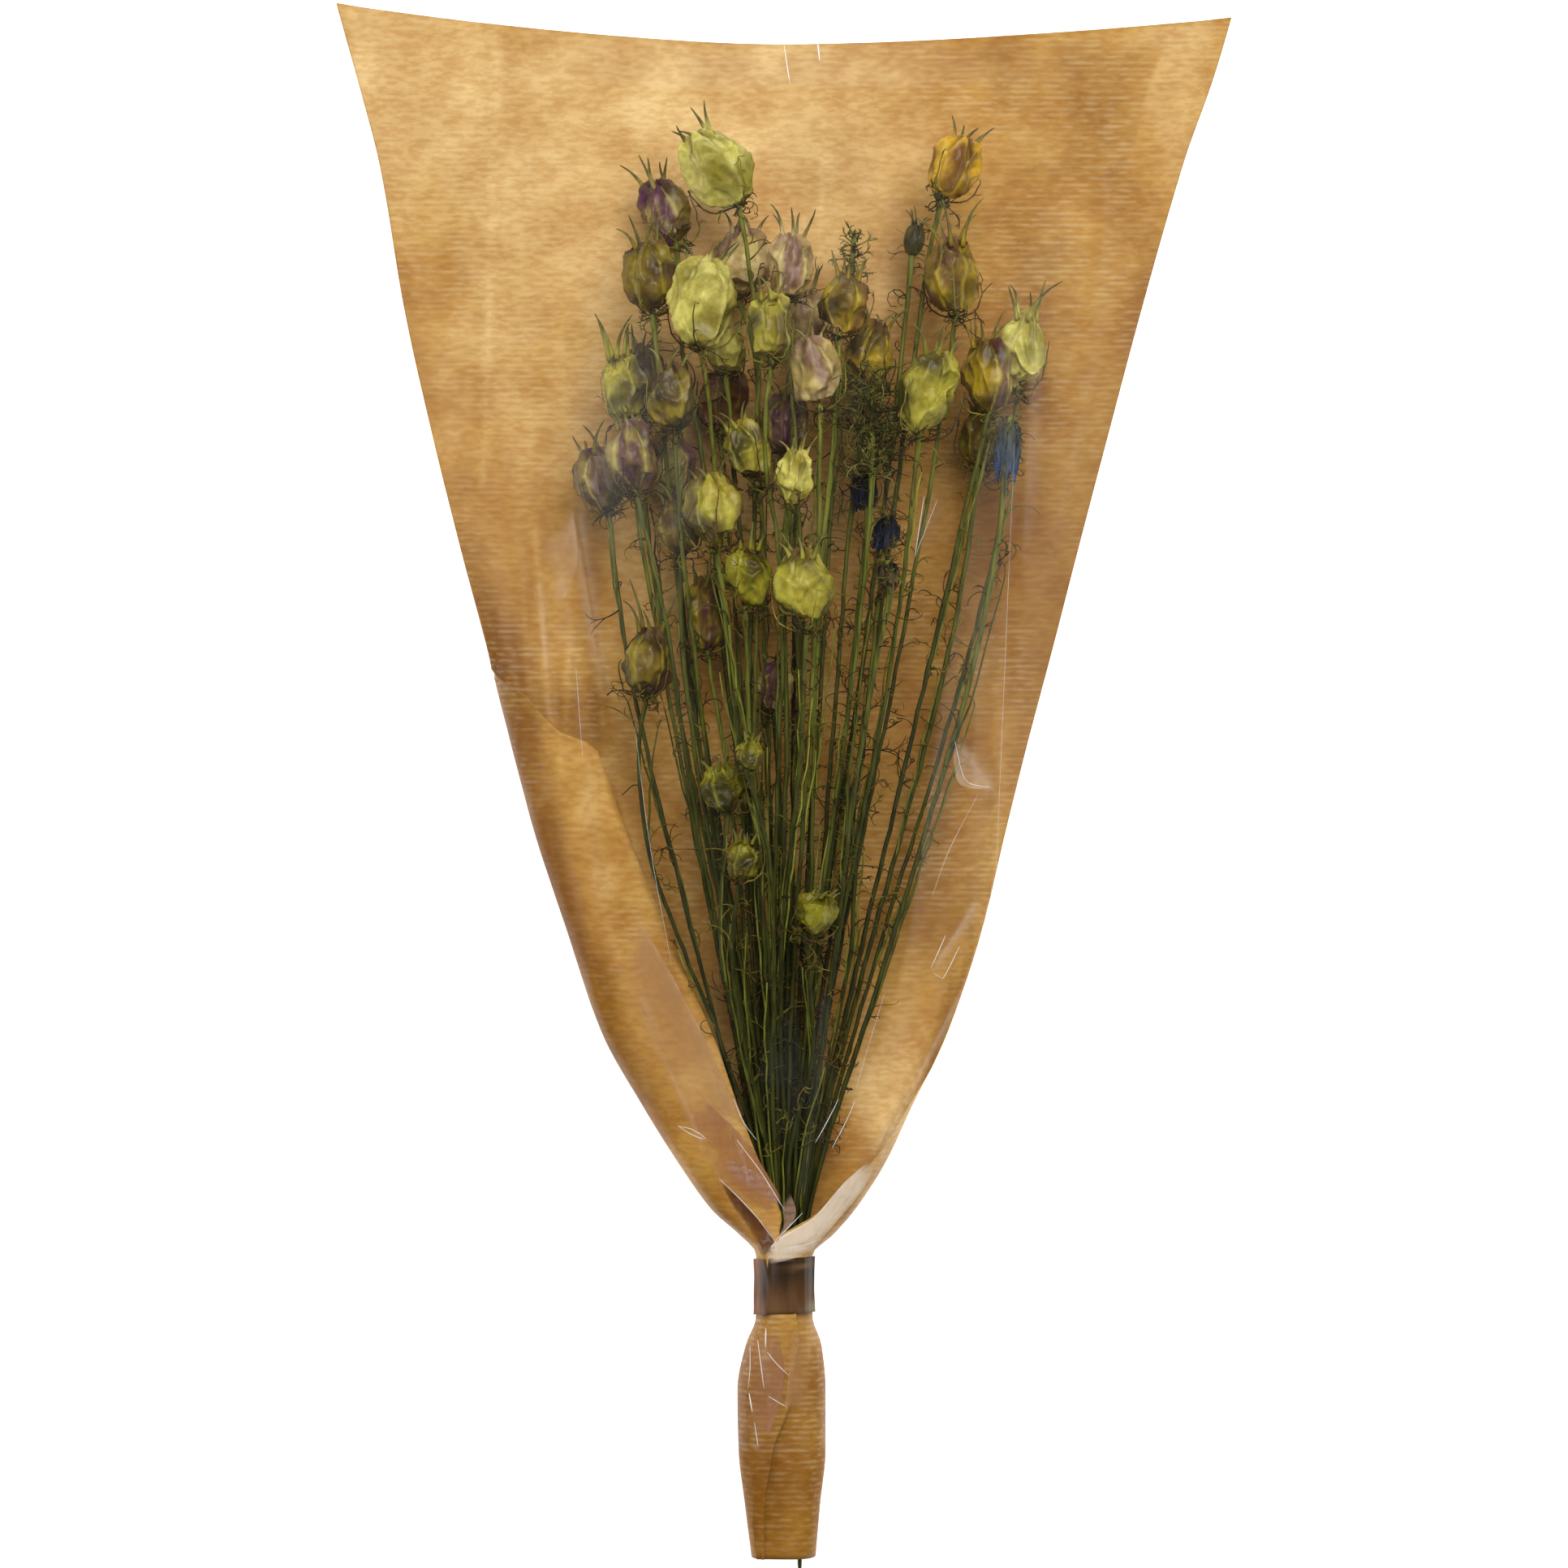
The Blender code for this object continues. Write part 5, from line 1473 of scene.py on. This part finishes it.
def on_film(places, x, y):
    """The point of the film's face above or below x and y."""
    row = int(np.argmin(np.abs(places[:, places.shape[1] // 2, 1] - y)))
    x = min(max(x, places[row, 1, 0]), places[row, -2, 0])
    z = np.interp(x, places[row, :, 0], places[row, :, 2])
    return Vector((x, y, float(z)))


def on_line(corners, count):
    """Points spread evenly along a smooth line through corners given in x and y."""
    route = smooth_chain([Vector((x, y, 0)) for x, y in corners], 1.2)
    spots = np.linspace(0, len(route) - 1.001, count)
    return [route[int(spot)].lerp(route[int(spot) + 1], spot % 1) for spot in spots]


def add_gathered_sheen(shape, places, gather):
    """A patch of doubled film between two lines, a little above the film and crinkled, its tint painted sheen
    or shade.
    """
    shares = np.linspace(0, 1, GATHER_COLUMNS)
    grid = []
    for near, far in zip(on_line(gather.near, GATHER_ROWS), on_line(gather.far, GATHER_ROWS)):
        row = [near.lerp(far, share) for share in shares]
        grid.append([tuple(on_film(places, point.x, point.y)) for point in row])
    grid = np.array(grid)
    grid[..., 2] += 0.35 + 0.5 * np.abs(noise_at(grid, (0.3, 0.12, 0), 61.0))
    cover = gather.near_cover + (gather.far_cover - gather.near_cover) * shares[None, :]
    along = np.linspace(0, 1, GATHER_ROWS)[:, None]
    cover = cover * smooth_step(0, 0.2, along) * smooth_step(1, 0.92, along)
    cover = cover * (0.35 + 0.65 * smooth_step(1, 0.75, shares))[None, :]
    tints = np.ones((GATHER_ROWS, GATHER_COLUMNS, 4))
    tints[..., :3] = linear(gather.tint)
    tints[..., 3] = cover
    middle = grid[GATHER_ROWS // 2]
    facing = np.cross(grid[-1, 0] - grid[0, 0], middle[-1] - middle[0])[2] > 0
    shape.add_slab(grid, tints, GATHERED_SHEEN, FILM_THICKNESS, flip=bool(facing))


def add_fold_highlight(shape, places, corners, width, cover):
    """A white line painted along a sharp fold in the film: a painted highlight."""
    route = smooth_chain([Vector((x, y, 0)) for x, y in corners], 2.0)
    points = [on_film(places, p.x, p.y) + Vector((0, 0, 0.9)) for p in route]
    shares = np.linspace(0, 1, len(points))
    radii = 0.5 * width * (0.25 + 0.75 * np.sin(math.pi * np.clip(shares, 0.03, 0.97)) ** 0.5)
    shape.add_tube(points, radii, (1.0, 1.0, 1.0, cover), GATHERED_SHEEN, flat=0.5)


def make_film(materials):
    """The clear film over the front, with white lines painted along its sharp folds as highlights, and
    gathered patches painted as sheen and, in one place, as fold shade. It throws no shadow and lights
    nothing, so that its faces don't darken what lies under them."""
    places = film_surface()
    veil = film_veil(places[..., 0], places[..., 1])
    shape = Shape()
    shape.add_slab(places, np.repeat(veil[..., None], 3, -1), CLEAR, FILM_THICKNESS, flip=True)
    for gather in GATHERED_SHEENS:
        add_gathered_sheen(shape, places, gather)
    for corners, width, cover in FILM_FOLD_HIGHLIGHTS:
        add_fold_highlight(shape, places, corners, width, cover)
    film = shape.build("clear_film_front", materials)
    film.visible_shadow = False
    film.visible_diffuse = False
    return film


def tape_tints(places):
    """Dark olive brown above and lighter below, with a pinkish strip, and a dark line at its left end that is
    painted shade in the gap there.
    """
    x, y = places[..., 0], places[..., 1]
    down = smooth_step(TAPE_TOP_Y - 3, TAPE_FOOT_Y + 3, y)
    tints = blend(linear((58, 40, 17)), linear((108, 72, 36)), down)
    lip = np.exp(-((y + 165.2 - 0.18 * x) / 0.9) ** 2) * smooth_step(-4, 2, x)
    tints = blend(tints, linear((136, 104, 72)), 0.6 * lip)
    patch = smooth_step(6.5, 8.5, x) * smooth_step(-174, -178, y)
    tints = blend(tints, linear((150, 144, 116)), 0.8 * patch)
    tints = blend(tints, linear((172, 118, 86)), smooth_step(-6.6, -7.2, x))
    # Painted shade in the gap at the tape's left end
    return blend(tints, linear((40, 22, 14)), np.exp(-((x + 6.6) / 0.5) ** 2))


def make_tape(material):
    """A band of brown tape drawn tight round the neck, over the paper and film."""
    row = row_at((TAPE_TOP_Y + TAPE_FOOT_Y) / 2)
    held = np.array(paper_section(row))
    angles = np.linspace(0, 2 * math.pi, TAPE_COLUMNS, endpoint=False)
    out = np.stack([np.cos(angles), np.sin(angles)], -1)
    furthest = held[np.argmax(held @ out.T, axis=0)]
    ring = furthest + out * TAPE_GAP
    ys = np.linspace(TAPE_FOOT_Y, TAPE_TOP_Y, TAPE_ROWS)
    places = np.zeros((len(ys), len(ring), 3))
    places[..., 0] = ring[None, :, 0]
    places[..., 2] = ring[None, :, 1]
    slant = 0.9 * np.sin(angles + 0.6)[None, :]
    edge = np.abs(np.linspace(-1, 1, len(ys)))[:, None] ** 2
    places[..., 1] = ys[:, None] + slant * edge
    crinkle = noise_at(places, (0.35, 0.08, 0.35), 51.0)
    swell = 0.35 * np.maximum(crinkle, 0) + 0.25 * edge
    places[..., 0] += out[None, :, 0] * swell
    places[..., 2] += np.maximum(out[None, :, 1], 0) * swell
    places[..., 2] = np.maximum(places[..., 2], 0.25)
    shape = Shape()
    shape.add_slab(places, tape_tints(places), 0, TAPE_SHOWN_THICKNESS, wrap=True)
    return shape.build("brown_neck_tape", [material])


# Studio

def make_camera():
    """Straight above the bunch, so that the photograph's frame fits it."""
    data = bpy.data.cameras.new("studio_camera")
    data.sensor_width = 36.0
    data.lens = data.sensor_width * CAMERA_HEIGHT / (PHOTO_SIZE_PX * MM_PER_PX)
    data.clip_start = 0.05
    camera = bpy.data.objects.new("studio_camera", data)
    camera.location = Vector((0, CAMERA_Y, CAMERA_HEIGHT)) * METRES_PER_MM
    bpy.context.scene.collection.objects.link(camera)
    bpy.context.scene.camera = camera


def make_floor():
    """A white table top, which isn't part of the object."""
    mesh = bpy.data.meshes.new("studio_floor")
    size, level = 4.0, -0.0003
    corners = [(-size, -size, level), (size, -size, level), (size, size, level), (-size, size, level)]
    mesh.from_pydata(corners, [], [(0, 1, 2, 3)])
    floor = bpy.data.objects.new("studio_floor", mesh)
    bpy.context.scene.collection.objects.link(floor)
    glow = {"Emission Color": (1, 1, 1), "Emission Strength": 0.85}
    matt = {"Base Color": (0.95, 0.95, 0.95), "Roughness": 0.9, "Specular IOR Level": 0.1}
    mesh.materials.append(Finish("studio_floor_finish").surface({**matt, **glow}))


def add_light(name, place, size, power):
    """A soft box that faces the middle of the bunch."""
    data = bpy.data.lights.new(name, "AREA")
    data.shape = "RECTANGLE"
    data.size, data.size_y = size
    data.energy = power
    lamp = bpy.data.objects.new(name, data)
    lamp.location = place
    lamp.rotation_euler = (Vector((0, 0, 0)) - Vector(place)).to_track_quat("-Z", "Y").to_euler()
    lamp.visible_camera = False
    bpy.context.scene.collection.objects.link(lamp)


def make_lighting():
    """Even white light from all sides, with two soft boxes for shape."""
    world = bpy.data.worlds.new("studio_light")
    world.use_nodes = True
    background = world.node_tree.nodes["Background"]
    background.inputs["Color"].default_value = (1, 1, 1, 1)
    background.inputs["Strength"].default_value = 0.13
    bpy.context.scene.world = world
    add_light("key_light", (0.35, 0.8, 1.6), (1.3, 1.3), 30)
    add_light("fill_light", (-1.2, 0.1, 1.3), (0.9, 0.8), 6.5)
    bpy.context.scene.view_settings.view_transform = "Standard"


def dress(piece, node):
    """The piece stands for its plain solid and moves with the bunch."""
    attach(piece, "root")
    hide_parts(node)


def make_bunch():
    """Every head with its stem, each a piece of its own."""
    finishes = {"skin": skin_material(), "stem": stem_material(), "petal": petal_material()}
    for strand in lay_out():
        name = strand.head.name
        add_head, ending, slot, finish = OTHER_PIECES.get(strand.head.kind, POD_PIECE)
        shape = Shape()
        add_head(shape, strand, random.Random(name))
        piece = shape.build(name + ending, [finishes[finish], finishes["stem"]])
        dress(piece, name)


make_camera()
make_floor()
make_lighting()
make_bunch()
dress(make_kraft(kraft_material()), "kraft_paper")
dress(make_film([film_material(), gathered_sheen_material()]), "clear_film")
dress(make_tape(tape_material()), "neck_tape")
